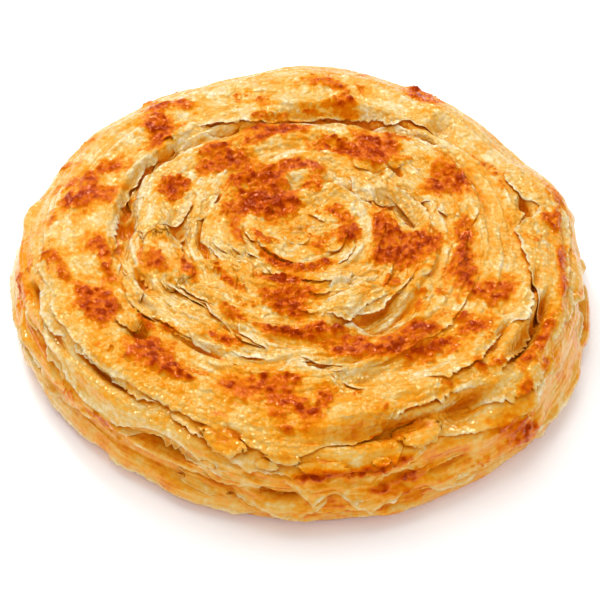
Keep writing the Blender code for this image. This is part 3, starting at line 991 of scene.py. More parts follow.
def fry(name, data, wide, near, sizes):
    """Gives a piece its final places, its blisters and the attributes that its material reads."""
    mesh = bpy.data.objects[name].data
    angle, reach, offset = data["angle"], data["reach"], data["offset"]
    level = data.get("level", np.zeros(len(angle)))
    face = level > FACE_ENDS
    # Hollows and the places under lips get painted shade, amber, through hollow; it also keeps browning out
    # of them.
    deep = smooth(*DEEP, PILE.read(wide, angle, reach) - offset)
    covered = smooth(*COVERED, PILE.read(PILE.top, angle, reach) - offset)
    hollow = np.where(face, np.maximum(deep, covered), 0.0)
    relief, crest_highlight, crease = skin_relief(angle, reach)
    # pit paints amber shade in narrow dips and in the creases of the skin.
    pit = smooth(*PITTED, PILE.read(near, angle, reach) - offset)
    pit = np.where(face, np.maximum(pit, 0.8 * crease), 0.0)
    # The edge attribute pales torn edges, as dry dough, and adds a painted highlight on crests.
    edge = np.where(face, np.maximum(data["edge"], 0.5 * crest_highlight), 0.0)
    brown = np.where(face, browning(angle, reach) * (1.0 - 0.6 * hollow), 0.0)
    points = place(angle, reach, offset)
    fried = smooth(0.3, 0.65, brown)
    bubbles = blisters(points, BLISTER_SIZE) * fried
    offset = offset + np.where(face, sizes.blister * bubbles + relief, 0.0)
    brown = brown + 0.45 * (bubbles - 0.42 * fried)
    points = place(angle, reach, offset)
    under = level < HIDDEN_ENDS
    if under.any():
        points[under] = underside(angle[under], reach[under])
    mesh.vertices.foreach_set("co", points.ravel())
    # The tone attribute carries each layer's oiliness and, round the near side, painted shade.
    for key, values in (("browned", brown), ("hollow", hollow), ("pit", pit), ("edge", edge),
                        ("tone", data["tone"] + shade_and_tone_shift(angle, reach))):
        float_attribute(mesh, key, values)
    fibres = mesh.attributes.new("fibres", "FLOAT_VECTOR", "POINT")
    coil = np.stack([COIL_RADIUS * np.cos(angle), COIL_RADIUS * np.sin(angle), reach], -1)
    fibres.data.foreach_set("vector", np.ascontiguousarray(coil, dtype=np.float32).ravel())
    mesh.update()


# ---------------------------------------------------------------- the layers of dough


def out(width, lift, rag, tone, *line, free=0.6, bulk=0.6):
    """A layer whose edge faces the rim."""
    return Layer("out", width, lift, rag, tone, free, bulk, line)


def inward(width, lift, rag, tone, *line, free=0.6, bulk=0.6):
    """A layer whose edge faces the middle."""
    return Layer("in", width, lift, rag, tone, free, bulk, line)


def winding(start, span, reach, drift, rng):
    """An edge's line that follows the coil, with small random swings."""
    degrees = np.arange(start, start + span, 7.0)
    swing = rng.normal(0.0, 0.35, len(degrees)).cumsum() * 0.6
    swing -= np.linspace(0.0, swing[-1], len(swing))
    return tuple(zip(degrees, reach - drift * (degrees - start) / 60.0 + swing))


def side_strata():
    """The long ragged folds that show all round the side, the lowest first."""
    rng = np.random.default_rng(21)
    layers = []
    for level, reach in enumerate((96.0, 92.0, 88.0, 84.0, 80.0)):
        start = rng.uniform(0.0, 60.0)
        while start < 360.0:
            span = rng.uniform(55.0, 100.0)
            line = winding(start, span, reach + rng.uniform(-1.2, 1.2), rng.uniform(-0.5, 2.6), rng)
            lift = rng.choice((0.0, 0.3, 0.6, 0.9)) if level else 0.0
            tone, free = rng.uniform(0.3, 1.0), rng.uniform(0.5, 0.95)
            layers.append(out(rng.uniform(5.0, 8.0), lift, 0.8, tone, *line, free=0.8 * free,
                              bulk=rng.uniform(0.8, 1.4)))
            start += span * rng.uniform(0.65, 0.85)
    return layers


def top_strata():
    """The folds that wind all over the top: thick ones, then thin ones on the inner turn."""
    rng = np.random.default_rng(22)
    thick = (72.5, 68.0, 63.5, 59.5, 55.5, 51.0, 47.0, 43.0, 39.0, 35.0, 31.0, 27.5, 24.0, 20.5, 17.0,
             13.5)
    thin = (53.0, 44.0, 41.5, 39.5, 37.0, 34.5, 32.0, 29.5, 27.0, 25.0, 22.5, 20.0, 17.5, 15.0)
    layers = wound(thick, 8.0, (0.45, 0.85), (0.25, 0.8), (0.0,), rng)
    return layers + wound(thin, 4.5, (0.35, 0.6), (0.5, 1.0), (0.0, 0.0, 0.0, 0.25), rng)


def wound(reaches, width, bulks, freedoms, lifts, rng):
    """Folds wound round the middle at each of some reaches."""
    layers = []
    for reach in reaches:
        start = rng.uniform(0.0, 90.0)
        while start < 360.0:
            span = rng.uniform(45.0, 90.0)
            line = winding(start, span, reach + rng.uniform(-1.0, 1.0), rng.uniform(1.5, 5.0), rng)
            tone, free, lift = rng.uniform(0.1, 0.7), rng.uniform(*freedoms), rng.choice(lifts)
            layers.append(out(width, lift, 0.6, tone, *line, free=free, bulk=rng.uniform(*bulks)))
            start += span * rng.uniform(0.7, 1.0)
    return layers


HEART_LAYERS = (
    out(4, 0.35, 0.2, 0.4, (155, 18), (170, 18.3), (185, 18.6), (200, 18), (215, 17.5), (235, 17.6)),
    out(4, 0.35, 0.2, 0.5, (165, 20), (180, 20.6), (195, 20.5), (210, 20), (222, 20.5)),
    out(4, 0.35, 0.2, 0.6, (160, 22), (175, 22.6), (190, 23), (205, 23.2), (215, 23)),
    out(4, 0.3, 0.3, 0.2, (150, 30.5), (160, 30.5), (170, 30), (180, 30.5), (186, 31.2)),
    inward(7, 0.6, 0.5, 0.15, (133, 28.5), (140, 27), (150, 25.8), (160, 26.2), (170, 26), (176, 27.5),
           (184, 29.5)),
    out(5, 0.4, 0.3, 0.45, (140, 25.2), (150, 24.8), (160, 24.5), (170, 24.3), (180, 25.5), (190, 26),
        (200, 26), (208, 26.5)),
    inward(9, 0.7, 0.8, 0.25, (3, 33), (6, 36), (9, 38.6), (15, 38.3), (21, 35), (26, 32.3), (28.5, 29),
           (29.5, 26), (33, 23.5), (40, 22.3), (50, 22.3), (60, 23.5), free=0.75),
    out(10, 0.8, 0.3, 0.35, (-2, 29.5), (5, 30.5), (8, 30.5), (12, 28.8), (18, 25.4), (24, 22.3),
        (30, 20.2), (40, 19), (50, 18.8), (60, 20), (70, 22), (75, 24), (85, 25), (93, 26.4),
        (103, 27.8), (113, 28.8), (120, 30.5), free=0.7),
    inward(7, 0.5, 0.5, 0.2, (200, 29), (206, 27.3), (213, 24.6), (219, 22.2), (226, 21), (234, 20.6),
           (240, 21)),
    out(5, 0.3, 0.3, 0.35, (235, 18.5), (250, 19.5), (265, 19), (280, 20.5), (292, 22.5), (302, 24.3),
        (310, 24.6)),
    inward(8, 0.7, 0.4, 0.8, (236, 20), (243, 20.6), (250, 21.4), (256, 20.6), (264, 20.2), (272, 21.2),
           (280, 22.5)),
    inward(4, 0.5, 0.4, 0.2, (284, 22.8), (292, 24), (300, 25), (308, 25.3), (316, 26)),
    out(5, 0.5, 0.4, 0.5, (60, 13.5), (85, 13.8), (110, 12.8), (135, 11), (150, 9)),
    out(4, 0.4, 0.4, 0.6, (300, 12), (320, 12.6), (340, 12.4), (360, 11.8), (380, 10.5)),
    out(4, 0.4, 0.4, 0.45, (190, 13.5), (215, 12.6), (240, 12.2), (265, 13.4), (290, 13.2)),
    inward(4, 0.4, 0.4, 0.3, (10, 6), (35, 6.5), (60, 6), (80, 5)),
    out(3, 0.4, 0.4, 0.5, (200, 5.5), (240, 5.8), (280, 6.5), (310, 5.5)),
)

INNER_LAYERS = (
    out(6, 0.5, 0.4, 0.15, (50, 55.5), (57, 53.5), (62, 52), (70, 50), (75, 49.3), (79, 47.5),
        (83, 45.5), (86, 44.5)),
    out(4, 0.4, 0.3, 0.15, (116, 47.5), (125, 48.5), (132, 49.3), (140, 49.5), (150, 49.2)),
    inward(3, 0.4, 0.3, 0.2, (139, 51), (145, 50.2), (152, 50.3), (159, 51.2)),
    out(3.5, 0.8, 0.4, 0.1, (147, 49.6), (153, 49.2), (158, 48.6), (164, 48.2), (170, 47.2)),
    out(3.5, 0.4, 0.3, 0.1, (150, 47.5), (157, 46.8), (163, 46), (167, 45.3)),
    out(12, 0.3, 0.3, 0.0, (204, 49.5), (212, 50.6), (220, 50), (228, 49.6), (236, 49.5), (244, 49),
        free=0.5),
    out(10, 0.6, 0.4, 0.3, (29, 52), (40, 52), (45, 51), (50, 50.5), (56, 50), (62, 48), (68, 46),
        (73, 43), (80, 41.5), (90, 42), (98, 43.5), (101, 45.5), (110, 46.5), (120, 45.8)),
    out(8, 0.9, 0.5, 0.2, (118, 45.3), (125, 45.3), (133, 45.2), (142, 44.5), (150, 45), (160, 44.8),
        (167, 43.4), (175, 42.8), (183, 43), (188, 42.5), free=0.75),
    inward(12, 0.8, 1.0, 0.2, (156, 31.3), (163, 31.2), (170, 31.8), (175, 33), (179, 35.3), (183, 38),
           (186, 40.5)),
    inward(6, 0.5, 0.8, 0.3, (4, 41), (8, 44), (11, 46), (14, 49)),
    inward(5, 0.4, 0.8, 0.4, (6, 38.5), (12, 39), (15, 40.5)),
    out(6, 0.4, 0.4, 0.2, (40, 36.8), (44, 34.5), (48, 31)),
    inward(12, 0.6, 0.5, 0.5, (37, 38.3), (41, 38), (45, 36), (47.5, 32.5), (52, 30.3), (60, 29.3),
           (66, 30)),
    inward(6, 0.3, 0.4, 0.4, (41, 38.5), (45, 37), (50, 36.8)),
    inward(10, 0.3, 0.4, 0.9, (202, 30.5), (205, 29), (210, 27), (216, 25.6), (222, 25.3), (232, 26.5),
           (240, 28)),
    out(9, 1.0, 0.4, 0.6, (203, 32.5), (208, 34), (214, 36.3), (222, 36), (230, 37), (235, 39.3),
        (242, 41), (248, 42.8), (255, 45.5), (261, 48.5), free=0.75),
    out(5, 0.3, 0.3, 0.3, (244, 39.8), (252, 42), (258, 44.6), (261, 48)),
    inward(8, 0.4, 0.5, 0.5, (278, 35), (284, 37), (290, 39.5), (296, 42.5), (302, 44.3), (308, 44.6),
           (314, 43.5), (318, 41)),
    inward(4, 0.3, 0.4, 0.05, (286, 35.5), (292, 37), (298, 40), (303, 43)),
    out(7, 1.3, 1.2, 0.7, (276, 33.8), (283, 33.8), (290, 34.6), (296, 33), (300, 31.8), (306, 31.8),
        (311, 33), (316, 36), (320, 38), free=0.85),
    inward(5, 0.3, 0.4, 0.6, (276, 29.8), (284, 29), (294, 27.8), (304, 27.3), (314, 28)),
    out(6, 0.3, 0.3, 0.45, (324, 36), (332, 37.5), (340, 37), (350, 38.5)),
)

OUTER_LAYERS = (
    out(5, 0.3, 0.3, 0.2, (0, 56.5), (12, 56.8), (24, 57), (36, 56.4), (45, 55.5), free=0.3),
    out(5, 0.3, 0.3, 0.2, (-4, 51), (10, 51.3), (22, 51.5), (34, 51), (44, 50.6), free=0.3),
    out(5, 0.3, 0.3, 0.3, (0, 47.5), (14, 48.5), (28, 49.5), (40, 50), free=0.3),
    out(5, 0.4, 0.3, 0.25, (232, 50), (238, 50.3), (244, 51), (250, 52.6), (255, 53.5)),
    out(6, 0.8, 0.3, 0.7, (268, 46.8), (274, 47.8), (280, 48.8), (286, 49.6), (292, 50.8), (297, 51.8)),
    inward(8, 0.4, 0.4, 0.5, (262, 49.5), (268, 48), (274, 50.5), (278, 53), (280, 56), (283, 59)),
    out(5, 0.5, 0.4, 0.2, (280, 52.5), (285, 54), (290, 53), (296, 52.8)),
    out(5, 0.6, 0.4, 0.1, (279, 55), (284, 57), (290, 58.6), (297, 59.8), (303, 60.4), (306, 62)),
    out(5, 0.5, 0.5, 0.1, (284, 62), (292, 63), (300, 63.3), (306, 63.5)),
    out(6, 1.2, 1.4, 0.5, (276, 67), (283, 65.3), (290, 66.6), (297, 66.3), (303, 65.8), (309, 68.3),
        (316, 68.2), (323, 67.4), (329, 66.4), (335, 66), free=0.8),
    out(4, 0.8, 1.4, 0.05, (298, 61.5), (303, 63), (307, 62.5), (313, 63.5), (320, 62.4), (327, 62.3),
        (333, 64.5), (340, 62.5), (344, 60.8), free=0.8),
    inward(10, 1.2, 0.6, 0.15, (328, 70.8), (332, 70), (336, 68.8), (340, 66.3), (344, 64), (350, 62.3),
           (356, 60.4), (360, 59.6), (364, 61.5), (367, 64.5), (372, 65.5), free=0.85),
    out(4, 0.4, 0.4, 0.3, (2, 60), (8, 61), (14, 60.3), (20, 60.5)),
    inward(6, 0.6, 0.6, 0.35, (8, 65.5), (12, 64.3), (14, 62.3), (18, 61.2), (25, 62)),
    inward(12, 1.0, 0.6, 0.25, (44, 57), (50, 56.5), (56, 56.6), (62, 55.3), (68, 54.6), (75, 53.8),
           (82, 52), (90, 50), (96, 48.5), (101, 47.6), (106, 48.3), (112, 49.8), (118, 51.5),
           (124, 53.5), (130, 53), (135, 51.3), (139, 50.6), free=0.75),
    out(5, 0.3, 0.5, 0.05, (122, 54.5), (128, 54), (133, 52.8), (137, 51)),
    inward(10, 1.0, 0.8, 0.35, (138, 51), (145, 50.4), (152, 50.2), (159, 51), (163, 50.3), (168, 50),
           (175, 50.9), (182, 51.3), (188, 50.6), (195, 49.8), (203, 49.2), free=0.75),
    out(5, 0.2, 0.3, 0.4, (166, 53), (175, 54.5), (182, 56), free=0.3),
)

SIDE_LAYERS = (
    out(7, 1.6, 0.8, 0.45, (206, 88), (214, 87), (222, 84.3), (229, 82.4), (236, 79.8), (243, 76.3),
        (248, 78.4), (254, 79.9), (262, 81.3), (270, 82.4), (276, 83.5), free=0.85),
    out(6, 0.8, 1.6, 0.05, (256, 88.5), (262, 88), (267, 91), (272, 88.5), (276, 87.5)),
    out(5, 0.9, 1.4, 0.1, (266, 80.8), (270, 82), (272, 84), (276, 83.6), (279, 86.2), (282, 84.5),
        (284, 82.5), (287, 81)),
    out(4, 0.6, 0.6, 0.2, (281, 80.8), (286, 79.3), (291, 77.2), (297, 75)),
    out(6, 0.8, 1.6, 0.15, (278, 90.5), (283, 88.5), (287, 87.3), (292, 86.6), (296, 91), (299, 90.5),
        (301, 87)),
    out(12, 0.3, 0.5, 0.3, (300, 89), (310, 89.5), (320, 89.3), (330, 90.5), (345, 92)),
    out(8, 0.8, 0.6, 0.1, (199, 75.5), (204, 73.3), (209, 75.7), (215, 76), (219, 78.8), (226, 80.3),
        (233, 79.3), (240, 76.6), (244, 75.4), (250, 77), (256, 79.6), (264, 81)),
    out(8, 1.0, 0.8, 0.15, (190, 72.6), (197, 71.8), (205, 72.7), (212, 72.6), (219, 70.9), (228, 71.4),
        (238, 70.9), (246, 71.8), (253, 73), (260, 75.8), (265, 77), (271, 76.6), (277, 77.6), (281, 76),
        (287, 77), (291, 75.3), free=0.75),
    out(6, 0.8, 0.6, 0.4, (293, 75.6), (300, 75.4), (308, 77.5), (316, 78.6), (324, 77), (332, 75.8),
        (340, 74.6), (350, 75)),
    out(6, 0.7, 0.8, 0.3, (306, 75.3), (311, 73.4), (317, 75), (324, 75.4), (330, 74.2), (336, 73.4),
        (343, 72.4), (350, 72.2), (357, 72.6), (365, 73.5), (372, 75.5), free=0.75),
    out(14, 0.8, 0.4, 0.3, (184, 71), (190, 70.2), (200, 69.6), (210, 69.7), (220, 70.4), (230, 70.2),
        (240, 69.4), (246, 69.6), (252, 70.2), (258, 71.6), (264, 72.8), (270, 73), (276, 71.6),
        (283, 70.3), (292, 69.4), free=0.7),
)

FLAKES = (
    Flake(199, 39, 9.5, 6.5, 1.0, 0.5, 1.0, 0.25, "o"),
    Flake(207, 50.3, 5, 2.2, 0.5, 0.6, 0.8, 0.2, "o"),
    Flake(216.5, 56, 4, 3, 0.5, 0.6, 1.0, 0.35, "a"),
    Flake(255.5, 73, 5.5, 2.3, 1.5, 0.8, 1.0, 0.15, "i"),
    Flake(267, 74.5, 3.5, 1.1, 0.5, 0.6, 1.0, 0.1, "i"),
    Flake(274, 76.2, 5, 1.3, 0.8, 0.7, 1.0, 0.2, "i"),
    Flake(293, 72.5, 5, 2.6, -0.5, 0.9, 1.2, 0.3, "i"),
    Flake(253.5, 79, 1.6, 0.9, 0.3, 0.4, 1.0, 0.1, "i"),
    Flake(284.5, 76.5, 2, 0.9, 0.2, 0.5, 1.0, 0.2, "i"),
    Flake(264, 76, 2.5, 1, 0.3, 0.5, 1.0, 0.1, "i"),
    Flake(252.5, 86.8, 6.5, 2, 0.8, 0.7, 0.9, 0.2, "i"),
)


# ---------------------------------------------------------------- materials


def add_node(tree, kind, settings, **links):
    """Adds a node. Settings are its properties, its plain inputs and its colour stops. Links are
    its linked inputs, by name, or by number after an n."""
    node = tree.nodes.new(kind)
    for key, value in settings.items():
        if key == "stops":
            points = node.color_ramp.elements
            while len(points) < len(value):
                points.new(0.5)
            for point, (spot, colour) in zip(points, value):
                point.position, point.color = spot, tuple(colour)[:3] + (1.0,)
        elif isinstance(key, int) or key in node.inputs.keys():
            node.inputs[key].default_value = value
        else:
            setattr(node, key, value)
    for key, socket in links.items():
        slot = int(key[1:]) if key[0] == "n" and key[1:].isdigit() else key
        tree.links.new(socket, node.inputs[slot])
    return node


def new_material(name):
    """A material with its node tree and its shader."""
    material = bpy.data.materials.new(name)
    material.use_nodes = True
    return material, material.node_tree, material.node_tree.nodes["Principled BSDF"]


# Where each colour lies on the scale of the skin's depth, from dry and pale to charred.
COLOUR_PLACES = (
    ("pale", 0.0),
    ("cream", 0.16),
    ("butter", 0.35),
    ("golden", 0.55),
    ("amber", 0.68),
    ("toasted", 0.8),
    ("browned", 0.9),
    ("charred", 1.0),
)
# Where the painted shade lies on the scale, between amber and toasted.
SHADE_DEPTH = 0.76
PLAIN_GLOSS = "#ffe4b4"
BROWNED_GLOSS = "#ff9838"


def dough_patterns(tree):
    """Sockets with what the mesh tells and with the patterns of the skin. Streaks and lines run
    along the coil, and the other patterns are the same in all directions."""
    where = add_node(tree, "ShaderNodeTexCoord", {}).outputs["Object"]
    read = {}
    for name in ("browned", "hollow", "pit", "edge", "tone"):
        read[name] = add_node(tree, "ShaderNodeAttribute", {"attribute_name": name}).outputs["Fac"]
    fibres = add_node(tree, "ShaderNodeAttribute", {"attribute_name": "fibres"}).outputs["Vector"]
    read["reach"] = add_node(tree, "ShaderNodeSeparateXYZ", {}, Vector=fibres).outputs["Z"]
    for name, along, across, detail in (("streak", 13, 1.5, 3.0), ("lines", 7, 0.8, 1.0)):
        scale = {"Scale": (1 / (along * MM), 1 / (along * MM), 1 / (across * MM))}
        drawn = add_node(tree, "ShaderNodeMapping", scale, Vector=fibres).outputs[0]
        pattern = {"Scale": 1.0, "Detail": detail, "Roughness": 0.5}
        read[name] = add_node(tree, "ShaderNodeTexNoise", pattern, Vector=drawn).outputs["Fac"]
    for name, size, detail in (("mottle", 6, 3.0), ("fine", 2.4, 3.0), ("crinkle", 1.2, 1.0)):
        pattern = {"Scale": 1 / (size * MM), "Detail": detail, "Roughness": 0.5}
        read[name] = add_node(tree, "ShaderNodeTexNoise", pattern, Vector=where).outputs["Fac"]
    pattern = {"feature": "SMOOTH_F1", "Scale": 1 / (1.5 * MM), "Smoothness": 0.25}
    read["pebbles"] = add_node(tree, "ShaderNodeTexVoronoi", pattern, Vector=where).outputs["Distance"]
    return read


def plain_depth(tree, read):
    """Colour depth of plain skin: streaky and grainy, more with oil and with painted shade on the near
    side, and less at torn edges and at crests, where it is a painted highlight.
    """
    mixed = add_node(tree, "ShaderNodeMix", {0: 0.6}, n2=read["streak"], n3=read["mottle"]).outputs[0]
    spread = {"From Min": 0.36, "From Max": 0.64, "To Min": 0.0, "To Max": 0.4}
    depth = add_node(tree, "ShaderNodeMapRange", spread, Value=mixed).outputs[0]
    # The tone attribute deepens the colour: the oiliness of each layer, and painted shade on the near side.
    oily = {"operation": "MULTIPLY_ADD", 1: 0.24}
    depth = add_node(tree, "ShaderNodeMath", oily, n0=read["tone"], n2=depth).outputs[0]
    for name, share, middle in (("pebbles", 0.2, 0.35), ("crinkle", 0.3, 0.5)):
        grain = {"operation": "MULTIPLY_ADD", 1: share, 2: -share * middle}
        grain = add_node(tree, "ShaderNodeMath", grain, n0=read[name]).outputs[0]
        depth = add_node(tree, "ShaderNodeMath", {"operation": "ADD"}, n0=grain, n1=depth).outputs[0]
    # The edge attribute pales torn edges, as dry dough, and crests, as a painted highlight.
    dry = {"operation": "MULTIPLY_ADD", 1: -0.28}
    return add_node(tree, "ShaderNodeMath", dry, n0=read["edge"], n2=depth).outputs[0]


def painted_shade_share(tree, read):
    """How much painted shade, amber, a spot takes: in hollows, in creases, and where little light comes in.
    """
    sunk = {"operation": "MULTIPLY", 1: 0.4}
    sunk = add_node(tree, "ShaderNodeMath", sunk, n0=read["hollow"]).outputs[0]
    pitted = {"operation": "MULTIPLY_ADD", 1: 0.8, "use_clamp": True}
    sunk = add_node(tree, "ShaderNodeMath", pitted, n0=read["pit"], n2=sunk).outputs[0]
    # Ambient occlusion paints shade: the less light reaches a spot, the nearer its colour comes to amber.
    nearby = {"samples": 4, "Distance": 4 * MM}
    open_sky = add_node(tree, "ShaderNodeAmbientOcclusion", nearby).outputs["AO"]
    shut = {"From Min": 0.85, "From Max": 0.3, "To Min": 0.0, "To Max": 0.85}
    shut = add_node(tree, "ShaderNodeMapRange", shut, Value=open_sky).outputs[0]
    return add_node(tree, "ShaderNodeMath", {"operation": "MAXIMUM"}, n0=sunk, n1=shut).outputs[0]


def burnt_level(tree, read):
    """How far a spot is browned, with an uneven edge to each patch."""
    uneven = add_node(tree, "ShaderNodeMix", {0: 0.4}, n2=read["fine"], n3=read["mottle"]).outputs[0]
    swing = {"operation": "MULTIPLY_ADD", 1: 1.6, 2: -0.8}
    swing = add_node(tree, "ShaderNodeMath", swing, n0=uneven).outputs[0]
    return add_node(tree, "ShaderNodeMath", {"operation": "ADD"}, n0=swing, n1=read["browned"]).outputs[0]


def skin_normal(tree, read):
    """Pebbles and crinkles, which fade out down the side, and fine lines along the coil."""
    fading = {"From Min": 72 * MM, "From Max": 80 * MM, "To Min": 0.65, "To Max": 0.12}
    fading = add_node(tree, "ShaderNodeMapRange", fading, Value=read["reach"]).outputs[0]
    pebbled = {"Distance": 0.8 * MM, "invert": True}
    pebbled = add_node(tree, "ShaderNodeBump", pebbled, Height=read["pebbles"], Strength=fading)
    crinkled = add_node(tree, "ShaderNodeBump", {"Distance": 0.6 * MM}, Height=read["crinkle"],
                        Strength=fading, Normal=pebbled.outputs["Normal"])
    lined = {"Strength": 0.35, "Distance": 0.6 * MM}
    lined = add_node(tree, "ShaderNodeBump", lined, Height=read["lines"], Normal=crinkled.outputs["Normal"])
    return lined.outputs["Normal"]


def fried_layered_dough(colours):
    """Fried dough: thin, oily and a little see-through, pale where it is dry and torn, with painted
    shade, amber, in its folds and hollows, a painted highlight on crests, and glossy red-brown where
    it touched the pan."""
    material, tree, shader = new_material("fried_layered_dough")
    read = dough_patterns(tree)
    depth, sunk = plain_depth(tree, read), painted_shade_share(tree, read)
    # Sunk spots take the painted shade at SHADE_DEPTH.
    depth = add_node(tree, "ShaderNodeMix", {3: SHADE_DEPTH}, n0=sunk, n2=depth).outputs[0]
    burnt = burnt_level(tree, read)
    share = {"From Min": 0.1, "From Max": 0.4}
    share = add_node(tree, "ShaderNodeMapRange", share, Value=burnt).outputs[0]
    fried = {"From Min": 0.25, "From Max": 1.0, "To Min": 0.56, "To Max": 1.0}
    fried = add_node(tree, "ShaderNodeMapRange", fried, Value=burnt).outputs[0]
    depth = add_node(tree, "ShaderNodeMix", {}, n0=share, n2=depth, n3=fried).outputs[0]
    stops = [(spot, getattr(colours, name)) for name, spot in COLOUR_PLACES]
    colour = add_node(tree, "ShaderNodeValToRGB", {"stops": stops}, Fac=depth).outputs["Color"]
    rough = {"From Min": 0.3, "From Max": 0.8, "To Min": 0.14, "To Max": 0.12}
    rough = add_node(tree, "ShaderNodeMapRange", rough, Value=burnt).outputs[0]
    tints = {"data_type": "RGBA", 6: linear(PLAIN_GLOSS) + (1.0,), 7: linear(BROWNED_GLOSS) + (1.0,)}
    tint = add_node(tree, "ShaderNodeMix", tints, n0=share).outputs[2]
    glowing = {"To Min": 0.1, "To Max": 0.25}
    glowing = add_node(tree, "ShaderNodeMapRange", glowing, Value=read["edge"]).outputs[0]
    linked = {
        "Base Color": colour,
        "Roughness": rough,
        "Specular Tint": tint,
        "Subsurface Weight": glowing,
        "Normal": skin_normal(tree, read),
    }
    for name, socket in linked.items():
        tree.links.new(socket, shader.inputs[name])
    shader.inputs["Specular IOR Level"].default_value = 0.6
    shader.inputs["Subsurface Radius"].default_value = (1.0, 0.45, 0.12)
    shader.inputs["Subsurface Scale"].default_value = 0.8 * MM
    return material


def matt_board(colour):
    """A matt painted board: plain, pale and without shine."""
    material, tree, shader = new_material("matt_painted_board")
    shader.inputs["Base Color"].default_value = tuple(colour) + (1.0,)
    shader.inputs["Roughness"].default_value = 0.9
    return material


# ---------------------------------------------------------------- the stage

# The share of the light from all round that gloss does not show.
GLOSS_DIMMING = 0.85
# The lamps: (name, place, width, the setting of its power, whether it only leaves gloss).
LAMPS = (
    ("overhead", (-0.1, 0.2, 0.9), 0.8, "overhead", False),
    ("fill", (0.1, -0.8, 0.6), 0.7, "fill", False),
    ("key", (-0.28, 0.62, 0.62), 0.26, "key", False),
    ("glint_left", (-0.6, 0.35, 0.7), 0.15, "glint", True),
    ("glint_back", (-0.2, 0.68, 0.6), 0.15, "glint", True),
    ("glint_right", (0.35, 0.6, 0.65), 0.15, "glint", True),
)


def look_at(item, target):
    """Turns a light or camera towards a point."""
    item.rotation_euler = (Vector(target) - item.location).to_track_quat("-Z", "Y").to_euler()


def soft_light(name, corner, size, watts, shines):
    """A round lamp that faces the bread. It either lights it or leaves gloss on it."""
    data = bpy.data.lights.new(name, "AREA")
    data.shape = "DISK"
    data.size = size
    data.energy = watts
    lamp = bpy.data.objects.new(name, data)
    lamp.location = corner
    lamp.visible_diffuse = not shines
    lamp.visible_glossy = shines
    look_at(lamp, (0.0, 0.0, 0.0))
    bpy.context.scene.collection.objects.link(lamp)


def make_floor(colour):
    """A wide board under the bread."""
    form = bmesh.new()
    bmesh.ops.create_grid(form, x_segments=1, y_segments=1, size=3.0)
    mesh = bpy.data.meshes.new("floor")
    form.to_mesh(mesh)
    form.free()
    mesh.materials.append(matt_board(colour))
    floor = bpy.data.objects.new("floor", mesh)
    bpy.context.scene.collection.objects.link(floor)


def make_world(scene, daylight):
    """Even light from all round, which hardly shows in the bread's gloss."""
    scene.world = bpy.data.worlds.new("studio")
    scene.world.use_nodes = True
    tree = scene.world.node_tree
    background = tree.nodes["Background"]
    background.inputs["Color"].default_value = (1.0, 1.0, 1.0, 1.0)
    mirrored = add_node(tree, "ShaderNodeLightPath", {}).outputs["Is Glossy Ray"]
    dimmed = {"operation": "MULTIPLY_ADD", 1: -GLOSS_DIMMING * daylight, 2: daylight}
    strength = add_node(tree, "ShaderNodeMath", dimmed, n0=mirrored).outputs[0]
    tree.links.new(strength, background.inputs["Strength"])


def make_lights(stage):
    """Three soft lamps that light the bread, and three small ones that only leave gloss."""
    for name, corner, size, power, shines in LAMPS:
        soft_light(name, corner, size, getattr(stage, power), shines)


def make_camera(stage):
    """The camera, in front of the bread and above it."""
    data = bpy.data.cameras.new("view")
    data.lens = stage.lens
    data.sensor_width = 36.0
    camera = bpy.data.objects.new("view", data)
    aim = Vector((0.0, 0.0, 0.5 * MM))
    direction = Vector((0.0, -math.cos(stage.elevation), math.sin(stage.elevation)))
    camera.location = aim + direction * stage.distance
    look_at(camera, aim)
    bpy.context.scene.collection.objects.link(camera)
    bpy.context.scene.camera = camera


# ---------------------------------------------------------------- operators


class PARATHA_OT_side_strata(bpy.types.Operator):
    """Lays the long layers round the side, in a low piece and a high one."""

    bl_idname = "paratha.side_strata"
    bl_label = "Side strata"

    def execute(self, context):
        rows, sizes = side_strata(), context.scene.dough_sizes
        half = len(rows) // 2
        lay_all("low_strata", rows[:half], sizes)
        lay_all("high_strata", rows[half:], sizes, before=half)
        return {"FINISHED"}


class PARATHA_OT_top_strata(bpy.types.Operator):
    """Lays the stuck folds of the top, then opens the hollows again."""

    bl_idname = "paratha.top_strata"
    bl_label = "Top strata"

    def execute(self, context):
        lay_all("top_strata", top_strata(), context.scene.dough_sizes)
        PILE.sink(DEEPENED * hollow_depth(PILE.angle, PILE.reach))
        return {"FINISHED"}


class PARATHA_OT_heart_layers(bpy.types.Operator):
    """Lays the folds round the heart."""

    bl_idname = "paratha.heart_layers"
    bl_label = "Heart layers"

    def execute(self, context):
        lay_all("heart_layers", HEART_LAYERS, context.scene.dough_sizes)
        return {"FINISHED"}


class PARATHA_OT_inner_layers(bpy.types.Operator):
    """Lays the torn inner turn of the coil."""

    bl_idname = "paratha.inner_layers"
    bl_label = "Inner layers"

    def execute(self, context):
        lay_all("inner_layers", INNER_LAYERS, context.scene.dough_sizes)
        return {"FINISHED"}


class PARATHA_OT_outer_layers(bpy.types.Operator):
    """Lays the outer turn of the coil."""

    bl_idname = "paratha.outer_layers"
    bl_label = "Outer layers"

    def execute(self, context):
        lay_all("outer_layers", OUTER_LAYERS, context.scene.dough_sizes)
        return {"FINISHED"}


class PARATHA_OT_side_layers(bpy.types.Operator):
    """Lays the torn layers of the side."""

    bl_idname = "paratha.side_layers"
    bl_label = "Side layers"

    def execute(self, context):
        lay_all("side_layers", SIDE_LAYERS, context.scene.dough_sizes)
        return {"FINISHED"}


class PARATHA_OT_torn_flakes(bpy.types.Operator):
    """Lays the small torn flakes."""

    bl_idname = "paratha.torn_flakes"
    bl_label = "Torn flakes"

    def execute(self, context):
        lay_all("torn_flakes", FLAKES, context.scene.dough_sizes)
        return {"FINISHED"}


